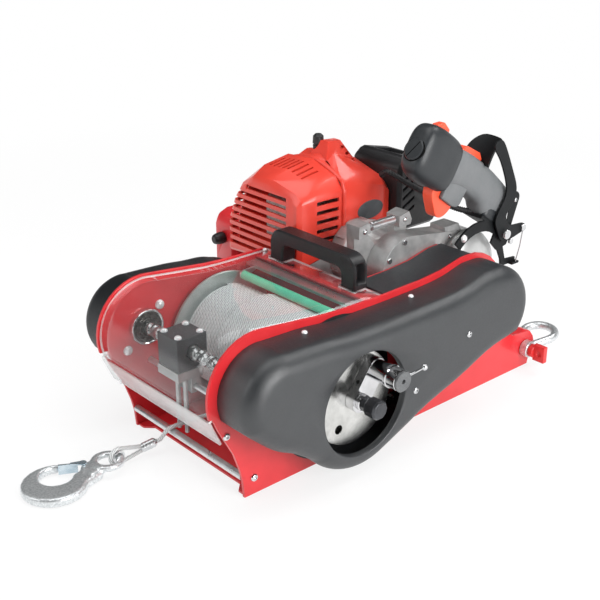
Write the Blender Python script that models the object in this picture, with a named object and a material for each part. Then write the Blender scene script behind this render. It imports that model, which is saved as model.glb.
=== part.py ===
"""Portable engine rope winch with a level-wind drum, drawn at its real size.

Lengths are in millimetres in the design frame and become metres when a mesh is made.
Design frame: X = 0 midway between the side plates, +X to the drive side; Y = 0 at the
front foot, +Y towards the anchor shackle; Z = 0 on the ground.
"""
import bpy
import bmesh
import math
import numpy as np
from mathutils import Matrix, Vector

MM = 0.001
GAP = 0.3                         # between pieces that touch
ORIGIN = (-31.0, 271.6)           # ground point under the middle of the machine

# ---------------------------------------------------------------- driving sizes
PLATE_OUT = 113.5                 # outer face of each side plate from the middle
PLATE_T = 4.0
PLATE_IN = PLATE_OUT - PLATE_T
FRAME_IN = PLATE_IN - GAP         # end face of what fits between the plates
FLOOR_T = 3.0                     # floor pan's sheet

DRUM = (138.0, 97.0)              # drum axis (y, z)
SCREW = (21.0, 137.0)             # level-wind screw axis
OUTPUT = (378.0, 140.0)           # chain drive's rear axis
CRANK = (328.0, 180.0)            # engine crank axis
DOME = (444.0, 158.0)             # reduction gear axis behind the case
FRONT_ROD = (1.0, 26.0)
GUIDE_ROD = (26.0, 88.0)
ROLLER = (168.0, 172.5)           # rope pressure roller
PIN = (517.0, 29.0)               # anchor shackle's pin
SHACKLE_MID = 105.0
SHACKLE_BAR = 6.0                 # radius of the bow's bar
LUG_IN = 97.5                     # inner face of the thick anchor lug

FLANGE_R = 84.0
DRUM_LEFT, DRUM_RIGHT = -104.0, 100.0
FLANGE_T = 4.0
BARREL_R = 45.0
CORE_R = 62.0                     # inner rope layers
ROPE_D = 5.6
LOOP_POINTS = 24
LOWER_R = (CORE_R + GAP + ROPE_D / 2) / math.cos(math.pi / LOOP_POINTS)
UPPER_R = LOWER_R + 6.3
ROPE_X = -27.5                    # where the rope leaves the drum
SHAFT_R = 10.0
SHAFT_HOLE_R = 21.0               # in both plates, round the ball bearings
SCREW_R, JOURNAL_R = 9.0, 7.6
SCREW_HOLE_R = 13.0

COVER_OUT = 172.0                 # outer face of both side covers
COVER_WALL = 3.0
OPENING_R = 66.0
DISC_R = 60.0
DISC_X = (144.0, 150.0)
CHAIN_X = (128.5, 135.5)
TEETH_X = (129.5, 134.5)
TIMING_X = (-132.0, -127.0)       # level wind's chain on the far side
ARM_ANGLE = math.radians(54.8)    # clutch arm, from +Y towards +Z
ARM_REACH = 42.0
ARM_X = (150.3, 163.0)
ARM_TIP = (DRUM[0] + ARM_REACH * math.cos(ARM_ANGLE), DRUM[1] + ARM_REACH * math.sin(ARM_ANGLE))
POST_END = 184.0                  # outer end of the clutch arm's post

GRIP_TILT = math.radians(-32.3)   # the throttle grip leans down to the rear
GRIP_MID = 59.0
STRAP_X = (74.0, 77.0)            # control bracket's sheet

# ---------------------------------------------------------------- finishes
FINISHES = {
    "red_paint": ((0.62, 0.022, 0.028), 0.32, 0.0),
    "orange_plastic": ((0.80, 0.060, 0.030), 0.35, 0.0),
    "dark_plastic": ((0.055, 0.060, 0.066), 0.50, 0.0),
    "black_plastic": ((0.012, 0.012, 0.013), 0.45, 0.0),
    "grey_plastic": ((0.16, 0.17, 0.18), 0.45, 0.0),
    "clear_plastic": ((0.85, 0.88, 0.90), 0.05, 0.0),
    "green_plastic": ((0.10, 0.62, 0.36), 0.40, 0.0),
    "zinc": ((0.66, 0.68, 0.69), 0.35, 1.0),
    "polished_steel": ((0.72, 0.72, 0.72), 0.12, 1.0),
    "dark_steel": ((0.10, 0.09, 0.085), 0.35, 1.0),
    "cast_aluminium": ((0.52, 0.51, 0.49), 0.50, 0.9),
    "wire_rope": ((0.56, 0.58, 0.58), 0.45, 0.9),
    "black_steel": ((0.02, 0.02, 0.022), 0.45, 0.5),
}


def clear_scene():
    for item in list(bpy.data.objects):
        bpy.data.objects.remove(item)


def material(name):
    found = bpy.data.materials.get(name)
    if found:
        return found
    colour, roughness, metallic = FINISHES[name]
    made = bpy.data.materials.new(name)
    made.use_nodes = True
    shader = made.node_tree.nodes["Principled BSDF"]
    shader.inputs["Base Color"].default_value = (*colour, 1.0)
    shader.inputs["Roughness"].default_value = roughness
    shader.inputs["Metallic"].default_value = metallic
    made.diffuse_color = (*colour, 1.0)
    return made


def place(item, finish, pivot):
    """Give an object its finish and hang it on the root with its origin at the pivot."""
    item.data.materials.clear()
    item.data.materials.append(material(finish))
    item.parent = bpy.data.objects["winch"]
    item.location = Vector(pivot) * MM
    return item


def piece(name, bm, finish, pivot=(0.0, 0.0, 0.0), smooth=35.0):
    """Turn a bmesh drawn in design millimetres into a placed object."""
    bmesh.ops.remove_doubles(bm, verts=bm.verts, dist=0.001)
    bmesh.ops.recalc_face_normals(bm, faces=bm.faces)
    bm.transform(Matrix.Scale(MM, 4) @ Matrix.Translation(-Vector(pivot)))
    mesh = bpy.data.meshes.new(name)
    bm.to_mesh(mesh)
    bm.free()
    mesh.shade_smooth()
    mesh.set_sharp_from_angle(angle=math.radians(smooth))
    item = bpy.data.objects.new(name, mesh)
    bpy.context.collection.objects.link(item)
    return place(item, finish, pivot)


def cutter(name, bm):
    """A solid that only cuts others."""
    item = piece(name, bm, "black_steel")
    item.hide_render = True
    item.display_type = 'WIRE'
    return item


def boolean(item, tool, operation='DIFFERENCE'):
    change = item.modifiers.new(tool.name, 'BOOLEAN')
    change.object = tool
    change.operation = operation
    change.solver = 'EXACT'


def rounded(item, width, segments=1, angle=40.0):
    """Round the sharp edges by a width in millimetres."""
    edge = item.modifiers.new("edges", 'BEVEL')
    edge.width = width * MM
    edge.segments = segments
    edge.limit_method = 'ANGLE'
    edge.angle_limit = math.radians(angle)
    edge.use_clamp_overlap = True


# ---------------------------------------------------------------- outlines
def arc(centre, radius, start, end, steps):
    """Points along an arc, angles in degrees, both ends included."""
    angles = np.radians(np.linspace(start, end, steps + 1))
    return [(centre[0] + radius * math.cos(a), centre[1] + radius * math.sin(a)) for a in angles]


def ring_offset(outline, distance):
    """Move a closed outline inwards by a distance, corner by corner."""
    points = np.array(outline, dtype=float)
    ahead = np.roll(points, -1, axis=0) - points
    ahead /= np.linalg.norm(ahead, axis=1)[:, None]
    behind = np.roll(ahead, 1, axis=0)
    area = np.sum(points[:, 0] * np.roll(points[:, 1], -1) - np.roll(points[:, 0], -1) * points[:, 1])
    side = 1.0 if area > 0 else -1.0
    normal = side * np.stack([-(ahead + behind)[:, 1], (ahead + behind)[:, 0]], axis=1)
    normal /= np.linalg.norm(normal, axis=1)[:, None]
    across = side * np.stack([-ahead[:, 1], ahead[:, 0]], axis=1)
    stretch = np.clip(np.sum(normal * across, axis=1), 0.5, 1.0)
    return [tuple(p) for p in points + normal * (distance / stretch)[:, None]]


def resampled(outline, spacing):
    """Points at an even spacing along a closed outline, so that offsets stay regular."""
    points = np.array(outline + outline[:1])
    lengths = np.concatenate([[0.0], np.cumsum(np.linalg.norm(np.diff(points, axis=0), axis=1))])
    places = np.linspace(0.0, lengths[-1], max(8, int(lengths[-1] / spacing)), endpoint=False)
    return list(zip(np.interp(places, lengths, points[:, 0]), np.interp(places, lengths, points[:, 1])))


AXES = {"x": (1, 2, 0), "y": (0, 2, 1), "z": (0, 1, 2)}


def at(axis, pair, along):
    """A 3-D point from its two plane coordinates and its place along an axis."""
    point = [0.0, 0.0, 0.0]
    first, second, third = AXES[axis]
    point[first], point[second], point[third] = pair[0], pair[1], along
    return point


def skin(bm, rows):
    """Close equal rows of points into a solid: squares between the rows and a face at each end."""
    rows = [[bm.verts.new(point) for point in row] for row in rows]
    for low, high in zip(rows, rows[1:]):
        for n in range(len(low)):
            following = (n + 1) % len(low)
            bm.faces.new((low[n], low[following], high[following], high[n]))
    bm.faces.new(rows[0][::-1])
    bm.faces.new(rows[-1])
    return bm


def loft(bm, axis, rings):
    """Close a stack of equal outlines, each (outline, place along the axis), into a solid."""
    return skin(bm, [[at(axis, pair, along) for pair in outline] for outline, along in rings])


def prism(axis, outline, low, high, bm=None):
    """A straight extrusion of an outline along an axis."""
    bm = bm or bmesh.new()
    base = bm.faces.new([bm.verts.new(at(axis, pair, low)) for pair in outline])
    grown = bmesh.ops.extrude_face_region(bm, geom=[base])["geom"]
    shift = Vector(at(axis, (0.0, 0.0), high - low))
    bmesh.ops.translate(bm, vec=shift, verts=[v for v in grown if isinstance(v, bmesh.types.BMVert)])
    return bm


def box(low, high, bm=None):
    outline = [(low[0], low[1]), (high[0], low[1]), (high[0], high[1]), (low[0], high[1])]
    return prism("z", outline, low[2], high[2], bm)


def turned(profile, centre, axis="x", sides=24, bm=None):
    """A solid of revolution: profile is (along, radius), from one end to the other.

    A profile that starts and ends on radius 0 is solid; otherwise it closes on itself
    round a bore.
    """
    bm = bm or bmesh.new()
    verts = [bm.verts.new(at(axis, (centre[0] + radius, centre[1]), along)) for along, radius in profile]
    following = verts[1:] + (verts[:1] if profile[0][1] > 0 else [])
    edges = [bm.edges.new(pair) for pair in zip(verts, following)]
    bmesh.ops.spin(bm, geom=verts + edges, cent=at(axis, centre, 0.0), axis=at(axis, (0.0, 0.0), 1.0),
                   angle=2 * math.pi, steps=sides, use_merge=True)
    return bm


def ring(centre, inner, outer, low, high, axis="x", sides=24, bm=None):
    return turned([(low, inner), (low, outer), (high, outer), (high, inner)], centre, axis, sides, bm)


def disc(centre, radius, low, high, axis="x", sides=24, bm=None):
    return turned([(low, 0.0), (low, radius), (high, radius), (high, 0.0)], centre, axis, sides, bm)


def smooth_route(points, spacing):
    """Points at an even spacing along a Catmull-Rom curve through the route's own points."""
    route = np.array([2 * np.array(points[0]) - points[1], *points, 2 * np.array(points[-1]) - points[-2]])
    t = np.linspace(0.0, 1.0, 24, endpoint=False)[:, None]
    runs = []
    for a, b, c, d in zip(route, route[1:], route[2:], route[3:]):
        runs.append(0.5 * (2 * b + (c - a) * t + (2 * a - 5 * b + 4 * c - d) * t ** 2
                           + (3 * b - a - 3 * c + d) * t ** 3))
    fine = np.concatenate([*runs, [route[-2]]])
    lengths = np.concatenate([[0.0], np.cumsum(np.linalg.norm(np.diff(fine, axis=0), axis=1))])
    count = max(2, int(round(lengths[-1] / spacing)) + 1)
    places = np.linspace(0.0, lengths[-1], count)
    return np.stack([np.interp(places, lengths, fine[:, k]) for k in range(3)], axis=1)


def tube(name, points, diameter, finish, resolution):
    """A round tube along points, as a bevelled curve with filled ends."""
    line = bpy.data.curves.new(name, 'CURVE')
    line.dimensions = '3D'
    line.bevel_depth = diameter / 2 * MM
    line.bevel_resolution = resolution
    line.use_fill_caps = True
    run = line.splines.new('POLY')
    run.points.add(len(points) - 1)
    rows = np.column_stack([np.array(points) * MM, np.ones(len(points))])
    run.points.foreach_set("co", rows.ravel())
    item = bpy.data.objects.new(name, line)
    bpy.context.collection.objects.link(item)
    return place(item, finish, (0.0, 0.0, 0.0))


def rod_along(points, radius, sides, bm=None):
    """A closed rod of one radius, or of a radius for each point, along a smooth row of points."""
    bm = bm or bmesh.new()
    points = np.array(points, dtype=float)
    radii = np.broadcast_to(radius, len(points))
    ahead = np.gradient(points, axis=0)
    ahead /= np.linalg.norm(ahead, axis=1)[:, None]
    side = np.cross(ahead[0], (0.0, 0.0, 1.0) if abs(ahead[0][2]) < 0.9 else (1.0, 0.0, 0.0))
    turns = [2 * math.pi * k / sides for k in range(sides)]
    rows = []
    for spot, direction, size in zip(points, ahead, radii):
        side = side - direction * np.dot(side, direction)
        side /= np.linalg.norm(side)
        up = np.cross(direction, side)
        rows.append([spot + size * (side * math.cos(a) + up * math.sin(a)) for a in turns])
    return skin(bm, rows)


# ---------------------------------------------------------------- frame
def nose():
    return arc((21, 137), 69.5, 195, 80, 11)


TOP_EDGE = [(84, 200), (119, 196), (152, 194), (220, 193), (290, 194), (328, 197), (366, 205)]
FRONT_EDGE = [(0, 0), (-2, 23), (-6, 40), (-14, 63), (-23, 80), (-34, 100), (-42, 119)]


def side_plate(name, outline, low, bores):
    """One sheet with its round holes, each (centre, radius)."""
    plate = piece(name, prism("x", outline, low, low + PLATE_T), "red_paint")
    holes = bmesh.new()
    for centre, radius in bores:
        disc(centre, radius, low - 2, low + PLATE_T + 2, sides=16, bm=holes)
    boolean(plate, cutter(name + "_holes", holes))
    return plate


def side_plates():
    """The far plate ends low behind the drum; the drive side's runs on to the anchor lug."""
    bores = [(DRUM, SHAFT_HOLE_R), (SCREW, SCREW_HOLE_R)]
    low_tail = [(229, 186), (234, 70), (246, 50), (500, 40), (506, 0)]
    side_plate("side_plate_left", FRONT_EDGE + nose() + TOP_EDGE[:4] + low_tail, -PLATE_OUT, bores)

    tail = [(447, 96), (462, 72), (488, 56)] + arc((515, 30), 24, 88, -52, 7) + [(527, 0)]
    outline = FRONT_EDGE + nose() + TOP_EDGE + arc((385, 141), 64.5, 95, -28, 9) + tail
    right = side_plate("side_plate_right", outline, PLATE_IN, bores + [(OUTPUT, 14.0)])
    boolean(right, cutter("anchor_lug", anchor_lug()), 'UNION')
    pin_hole = disc(PIN, SHACKLE_BAR + 0.6, LUG_IN - 3, PLATE_OUT + 2, sides=16)
    boolean(right, cutter("anchor_pin_hole", pin_hole))


def inner_plate():
    """The wall between drum bay and gear case, cut round the reduction gear at its rear."""
    outline = [(229.5, 3.3), (229.5, 189), (290, 190), (328, 193), (366, 201), (386, 202)]
    outline += arc(DOME, 53.0, 140, 256, 9) + [(440, 3.3)]
    wall = piece("inner_plate", prism("x", outline, 50.0, 54.0), "red_paint")
    boolean(wall, cutter("inner_plate_hole", disc(OUTPUT, 12.0, 48, 56, sides=16)))


def base_tray():
    """The floor pan, its front edge stepped back, with the welded wall and flange behind the drum."""
    edge = FRAME_IN
    outline = [(-edge, 2), (-99, 2), (-88, 13), (88, 13), (99, 2), (edge, 2), (edge, 505), (-edge, 505)]
    tray = piece("base_tray", prism("z", outline, 0.0, FLOOR_T), "red_paint")
    fold = [(225.5, 1.5), (228.5, 1.5), (228.5, 188.2), (202, 188.2), (202, 185.2), (225.5, 185.2)]
    boolean(tray, cutter("base_tray_wall", prism("x", fold, -edge, edge)), 'UNION')


def gear_case_panel():
    """The black sheet over the gear case, folded down at its rear edge."""
    top = [(231.2, 190.2), (290, 191.2), (328, 194.2), (366, 202.2), (391, 203.2)]
    under = [(y - 0.6, z - 2.6) for y, z in top[::-1]]
    outline = top + under
    piece("gear_case_panel", prism("x", outline, 54.3, FRAME_IN), "dark_plastic")


def clear_cover():
    """A bent sheet: front lip, nose and top, with notches for the handle's feet."""
    outer = [(-30, 80), (-45, 113)] + arc((21, 137), 66.5, 193, 80, 12)
    outer += [(84, 196.5), (119, 192.8), (152, 191.5), (224, 191.5)]
    inner = [(224, 188.5), (152, 188.5), (119, 189.8), (84, 193.4)]
    inner += arc((21, 137), 63.5, 80, 193, 12) + [(-42.2, 114), (-27.4, 81.2)]
    sheet = piece("clear_cover", prism("x", outer + inner, -FRAME_IN, FRAME_IN), "clear_plastic")
    notches = box((-86, 205.5, 180), (-57, 230, 200))
    box((50, 205.5, 180), (79, 230, 200), notches)
    boolean(sheet, cutter("clear_cover_notches", notches))


def tie_rods():
    piece("front_rod", disc(FRONT_ROD, 4.6, -FRAME_IN, FRAME_IN, sides=16), "zinc")
    piece("guide_rod", disc(GUIDE_ROD, 4.0, -FRAME_IN, FRAME_IN, sides=16), "zinc")


def handle_outline():
    """Front view of the carry handle: a bar on two feet with rounded shoulders."""
    outer = [(-84, 188.5)] + arc((-64, 213), 20, 180, 90, 5) + arc((57, 213), 20, 90, 0, 5) + [(77, 188.5)]
    inner = [(52, 188.5)] + arc((43, 205), 9, 0, 90, 3) + arc((-50, 205), 9, 90, 180, 3) + [(-59, 188.5)]
    return outer + inner


def carry_handle():
    bar = piece("carry_handle", prism("y", handle_outline(), 206.5, 230.5), "black_plastic")
    pockets = box((64, 212, 198), (84, 225, 222))
    box((-91, 212, 198), (-71, 225, 222), pockets)
    boolean(bar, cutter("carry_handle_pockets", pockets))
    rounded(bar, 2.0)


def anchor_lug():
    """The thick tow lug that is welded inside the drive-side plate."""
    outline = [(452, 3.3), (452, 40), (486, 56)] + arc((516, 30), 25, 100, -20, 7) + [(530, 3.3)]
    return prism("x", outline, LUG_IN, PLATE_IN + 1.0)


# ---------------------------------------------------------------- shackle
def shackle_bow():
    """The bow leans up a little to the rear, with a bored eye on each end."""
    lean = math.radians(7.0)
    half = [(-15.0, 0.0), (-15.0, 14.0), (-19.0, 28.0), (-23.0, 42.0), (-21.5, 55.0), (-13.0, 66.0)]
    flat = half + [(0.0, 70.0)] + [(-x, y) for x, y in half[::-1]]
    route = [(SHACKLE_MID + x, PIN[0] + y * math.cos(lean), PIN[1] + y * math.sin(lean)) for x, y in flat]
    bow = piece("shackle_bow", rod_along(smooth_route(route, 13.0), SHACKLE_BAR, 8), "zinc",
                pivot=(SHACKLE_MID, *PIN), smooth=50)
    eyes = bmesh.new()
    for side in (-1, 1):
        near, far = sorted((SHACKLE_MID + side * 9.0, SHACKLE_MID + side * 21.0))
        disc(PIN, 12.0, near, far, sides=14, bm=eyes)
    boolean(bow, cutter("shackle_eyes", eyes), 'UNION')
    bores = disc(PIN, SHACKLE_BAR + 0.4, SHACKLE_MID - 24, SHACKLE_MID + 24, sides=12)
    boolean(bow, cutter("shackle_bores", bores))


def shackle_pin():
    """Screw pin with a round collar and a flat square head."""
    shank, collar, start, tip = SHACKLE_BAR - 0.1, 9.5, SHACKLE_MID + 21.3, SHACKLE_MID - 23.5
    profile = [(tip, 0), (tip, shank), (start, shank), (start, collar), (start + 8, collar), (start + 8, 0)]
    pin = piece("shackle_pin", turned(profile, PIN, sides=12), "red_paint", pivot=(SHACKLE_MID, *PIN))
    head = box((start + 6, PIN[0] - 4, PIN[1] - 12), (start + 25, PIN[0] + 4, PIN[1] + 12))
    boolean(pin, cutter("shackle_pin_head", head), 'UNION')


# ---------------------------------------------------------------- side covers
def right_outline():
    """The drive-side cover's belt line: nose, chain run, rear lobe, drum lobe and neck."""
    line = arc((21, 137), 56.5, 205, 82, 12)
    line += [(84, 191), (119, 187.5), (152, 186), (220, 185.5), (290, 187), (328, 190.5), (362, 198)]
    line += arc((386, 140), 58.5, 92, -48, 12)
    line += [(371, 87), (313, 66), (254, 48), (213, 31)]
    line += arc((138, 97), 89, -68, -142, 8)
    line += [(54, 52), (36, 64), (10, 78), (-14, 98)]
    return line


def left_outline():
    """The far cover: the same nose, ending in a lobe about the drum axis."""
    line = arc((21, 137), 56.5, 215, 82, 12)
    line += [(84, 191), (119, 187.5), (146, 185.5)]
    line += arc((146, 107), 76, 78, -84, 12)
    line += [(112, 31), (66, 48), (20, 72), (-8, 88)]
    return line


def moulded_shell(name, outline, low, high, edge, finish):
    """A cover moulded with a softly rounded outer edge, hollow and open at its plate side."""
    outline = resampled(outline, 20.0)
    inward = 1.0 if high > low else -1.0
    steps = [math.radians(a) for a in (0, 30, 60, 90)]
    rings = [(outline, low)]
    rings += [(ring_offset(outline, edge * (1 - math.cos(a))), high - inward * edge * (1 - math.sin(a)))
              for a in steps]
    shell = piece(name, loft(bmesh.new(), "x", rings), finish, smooth=50)
    hollow = [(ring_offset(outline, COVER_WALL), low - inward),
              (ring_offset(outline, COVER_WALL), high - inward * edge),
              (ring_offset(outline, edge), high - inward * COVER_WALL)]
    boolean(shell, cutter(name + "_hollow", loft(bmesh.new(), "x", hollow)))
    return shell


def side_covers():
    right = moulded_shell("right_cover", right_outline(), PLATE_OUT + GAP, COVER_OUT, 22.0, "dark_plastic")
    boolean(right, cutter("right_cover_opening", disc(DRUM, OPENING_R, 160, 180, sides=36)))
    moulded_shell("left_cover", left_outline(), -PLATE_OUT - GAP, -COVER_OUT, 20.0, "black_plastic")


# ---------------------------------------------------------------- drum and rope
def drum():
    """Spool: barrel and two flanges, bored for its shaft."""
    bore = SHAFT_R + GAP
    inner_left, inner_right = DRUM_LEFT + FLANGE_T, DRUM_RIGHT - FLANGE_T
    profile = [(DRUM_LEFT, bore), (DRUM_LEFT, FLANGE_R), (inner_left, FLANGE_R), (inner_left, BARREL_R),
               (inner_right, BARREL_R), (inner_right, FLANGE_R), (DRUM_RIGHT, FLANGE_R), (DRUM_RIGHT, bore)]
    piece("drum", turned(profile, DRUM, sides=28), "zinc", pivot=(0, *DRUM))
    bed = (BARREL_R + GAP) / math.cos(math.pi / LOOP_POINTS)
    core = ring(DRUM, bed, CORE_R, inner_left + GAP, inner_right - GAP, sides=LOOP_POINTS)
    piece("rope_core", core, "wire_rope", pivot=(0, *DRUM))


LOWER_TURNS, QUICK_TURNS, CLIMB_TURNS, UPPER_TURNS = 4.5, 1.5, 0.5, 10.5
EXIT_ANGLE = math.radians(-94.0)


def drum_point(x, radius, angle):
    return (x, DRUM[0] + radius * math.cos(angle), DRUM[1] + radius * math.sin(angle))


def winding_route():
    """The outer rope: a lower layer, a quick lay back under the upper one, and that layer.

    The rope starts square on the left flange and leaves along the tangent at the exit angle.
    """
    left = DRUM_LEFT + FLANGE_T + GAP
    right = DRUM_RIGHT - FLANGE_T - GAP - ROPE_D / 2 - 0.2
    bend = 5.0
    marks = np.cumsum([0, LOWER_TURNS, QUICK_TURNS, CLIMB_TURNS, UPPER_TURNS])
    total = marks[-1]
    turns = np.arange(0, int(total * LOOP_POINTS) + 1) / LOOP_POINTS
    first = left + ROPE_D + bend
    x = np.interp(turns, marks, [first, ROPE_X - 4.3, right, right, ROPE_X])
    radius = np.interp(turns, marks, [LOWER_R, LOWER_R, LOWER_R, UPPER_R, UPPER_R])
    angles = EXIT_ANGLE + 2 * math.pi * (total - turns)
    loops = [drum_point(*row) for row in zip(x, radius, angles)]
    start = angles[0] + bend / LOWER_R
    lead = [drum_point(left, LOWER_R, start), drum_point(left + ROPE_D, LOWER_R, start)]
    for a in (0.5, 1.0):
        step = ROPE_D + bend * (1 - math.cos(a)) * 0.6
        lead.append(drum_point(left + step, LOWER_R, start - bend / LOWER_R * math.sin(a)))
    return lead + loops[1:]


def exit_direction():
    return np.array([0.0, math.sin(EXIT_ANGLE), -math.cos(EXIT_ANGLE)])


def least_gap(points, diameter):
    """The smallest clear distance between parts of a tube that are a half loop or more apart."""
    points = np.array(points)
    least = 1e9
    for n in range(len(points) - LOOP_POINTS // 2):
        away = np.linalg.norm(points[n + LOOP_POINTS // 2:] - points[n], axis=1)
        least = min(least, away.min())
    return least - diameter


def rope_winding():
    route = winding_route()
    end = np.array(route[-1])
    route.append(tuple(end + exit_direction() * ROPE_D))
    item = tube("rope_winding", route, ROPE_D, "wire_rope", 1)
    print("rope_winding: loops", LOWER_TURNS + QUICK_TURNS + CLIMB_TURNS + UPPER_TURNS,
          "least gap mm", round(float(least_gap(route, ROPE_D)), 2))
    item.data.transform(Matrix.Translation(-Vector((0, *DRUM)) * MM))
    item.location = Vector((0, *DRUM)) * MM


def toothed(centre, tip, root, teeth, low, high):
    """A chain sprocket: a plate with a ring of teeth."""
    outline = []
    for k in range(teeth):
        for share, radius in ((0.0, tip), (0.5, root)):
            angle = 2 * math.pi * (k + share) / teeth
            outline.append((centre[0] + radius * math.cos(angle), centre[1] + radius * math.sin(angle)))
    return prism("x", outline, low, high)


def drum_shaft():
    """Shaft through the drum, keyed to the small sprocket that drives the level wind."""
    far, near = TIMING_X[0] - 10, 168.0
    shaft = piece("drum_shaft", disc(DRUM, SHAFT_R, far, near, sides=16), "polished_steel", pivot=(0, *DRUM))
    boolean(shaft, cutter("drum_shaft_sprocket", toothed(DRUM, 22.5, 18.5, 12, *TIMING_X)), 'UNION')


def shaft_bearings():
    """Ball bearings of the drum shaft and flanged bearings of the level-wind screw."""
    bore, rim = JOURNAL_R + 0.7, 24.0
    for side, name in ((-1, "left"), (1, "right")):
        ends = sorted((side * (PLATE_OUT + 2), side * (FRAME_IN - 4)))
        race = ring(DRUM, SHAFT_R + GAP, SHAFT_HOLE_R - 0.4, *ends, sides=16)
        piece("drum_bearing_" + name, race, "dark_steel")
        face, slope, back = (side * (FRAME_IN - depth) for depth in (8.0, 6.0, 0.0))
        profile = [(face, bore), (face, rim - 3), (slope, rim), (back, rim), (back, bore)]
        piece("screw_bearing_" + name, turned(profile, SCREW, sides=12), "dark_steel")


# ---------------------------------------------------------------- level wind
SCREW_SPAN, SCREW_LEAD, GROOVE = 96.0, 38.4, 1.6


def screw_radius(x, angle):
    """Two grooves of opposite hand run round the screw and cross twice a lead."""
    turn = 2 * math.pi * x / SCREW_LEAD
    share = max(math.cos((angle - turn) / 2) ** 16, math.cos((angle + turn) / 2) ** 16)
    return SCREW_R - GROOVE * share


def level_wind_screw():
    """The reversing screw with plain journals, and the sprocket that turns it."""
    angles = np.radians(np.arange(0, 360, 36))
    rows = []
    for x in np.linspace(-SCREW_SPAN, SCREW_SPAN, 29):
        reach = np.array([screw_radius(x, a) for a in angles])
        across = SCREW[0] + reach * np.cos(angles)
        up = SCREW[1] + reach * np.sin(angles)
        rows.append([(x, y, z) for y, z in zip(across, up)])
    screw = piece("level_wind_screw", skin(bmesh.new(), rows), "dark_steel", pivot=(0, *SCREW), smooth=60)
    journals = disc(SCREW, JOURNAL_R, TIMING_X[0] - 10, 2 - SCREW_SPAN, sides=12)
    disc(SCREW, JOURNAL_R, SCREW_SPAN - 2, PLATE_OUT + 8.5, sides=12, bm=journals)
    boolean(screw, cutter("level_wind_journals", journals), 'UNION')
    boolean(screw, cutter("level_wind_sprocket", toothed(SCREW, 44.5, 40.5, 24, *TIMING_X)), 'UNION')


BLOCK_X = (-48.0, -7.0)
BLOCK_Y = (-2.0, 42.0)


def carriage():
    """Guide block on the screw, and the plate below it with its rope pins and its leg on the rod."""
    mid = sum(BLOCK_X) / 2
    block = piece("guide_block", box((BLOCK_X[0], BLOCK_Y[0], 115.3), (BLOCK_X[1], BLOCK_Y[1], 158)),
                  "black_plastic", pivot=(mid, *SCREW))
    boolean(block, cutter("guide_block_bore", disc(SCREW, 9.6, BLOCK_X[0] - 2, BLOCK_X[1] + 2, sides=20)))
    shoe = piece("guide_plate", box((BLOCK_X[0] - 1, BLOCK_Y[0] - 1, 103), (BLOCK_X[1] + 1, 33, 115)),
                 "cast_aluminium", pivot=(mid, *SCREW))
    leg = box((BLOCK_X[0] + 4, 19.6, 80), (BLOCK_X[1] - 4, 33, 104))
    boolean(shoe, cutter("guide_plate_leg", leg), 'UNION')
    boolean(shoe, cutter("guide_plate_bore", disc(GUIDE_ROD, 4.4, -60, 10, sides=16)))
    for side, name in ((-1, "left"), (1, "right")):
        pin = disc((ROPE_X + side * 8.0, 16.0), 3.0, 24, 110, axis="z", sides=12)
        boolean(shoe, cutter("guide_pin_" + name, pin), 'UNION')


# ---------------------------------------------------------------- rope pressure roller
def pressure_roller():
    """Roller that holds the turns down, on journals in the arms of a flat rail."""
    profile = [(-95, 0), (-95, 2.4), (-92, 2.4), (-92, 6.0), (92, 6.0), (92, 2.4), (95, 2.4), (95, 0)]
    piece("pressure_roller", turned(profile, ROLLER, sides=10), "green_plastic", pivot=(0, *ROLLER))
    bar = piece("pressure_rail", box((-FRAME_IN, 186, 177.5), (FRAME_IN, 203, 181.5)), "zinc")
    arms = bmesh.new()
    outline = arc(ROLLER, 5.2, 150, 290, 6) + [(190, 175), (190, 179), (186.5, 179), (168, 178)]
    for low in (-95.6, 92.4):
        prism("x", outline, low, low + 3.2, arms)
    boolean(bar, cutter("pressure_arms", arms), 'UNION')
    boolean(bar, cutter("pressure_journals", disc(ROLLER, 2.7, -97, 97, sides=16)))


# ---------------------------------------------------------------- chain drive
def chain(name, front, front_r, rear, rear_r, low, high, thick, finish):
    """A chain loop round two sprockets: pitch line from two arcs, cut to a band with side links."""
    span = np.array(rear) - np.array(front)
    heading = math.degrees(math.atan2(span[1], span[0]))
    lift = math.degrees(math.asin((front_r - rear_r) / np.linalg.norm(span)))
    half = 90 - lift

    def around(radius_front, radius_rear):
        first = arc(front, radius_front, heading + half, heading + 360 - half, 16)
        second = arc(rear, radius_rear, heading - half, heading + half, 8)
        return first + second
    band = piece(name, prism("x", around(front_r + thick / 2, rear_r + thick / 2), low, high), finish,
                 pivot=(0, *front))
    inside = around(front_r - thick / 2, rear_r - thick / 2)
    boolean(band, cutter(name + "_inside", prism("x", inside, low - 1, high + 1)))
    return band


def chain_drive():
    chain("drive_chain", DRUM, 61.0, OUTPUT, 24.0, *CHAIN_X, 5.0, "dark_steel")
    chain("timing_chain", SCREW, 47.0, DRUM, 25.0, *TIMING_X, 4.0, "dark_steel")
    drive_disc()
    sprocket = piece("drive_sprocket", disc(OUTPUT, SCREW_R, 50.5, 140, sides=16), "dark_steel",
                     pivot=(0, *OUTPUT))
    boolean(sprocket, cutter("drive_sprocket_teeth", toothed(OUTPUT, 21, 17, 10, *TEETH_X)), 'UNION')


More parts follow.
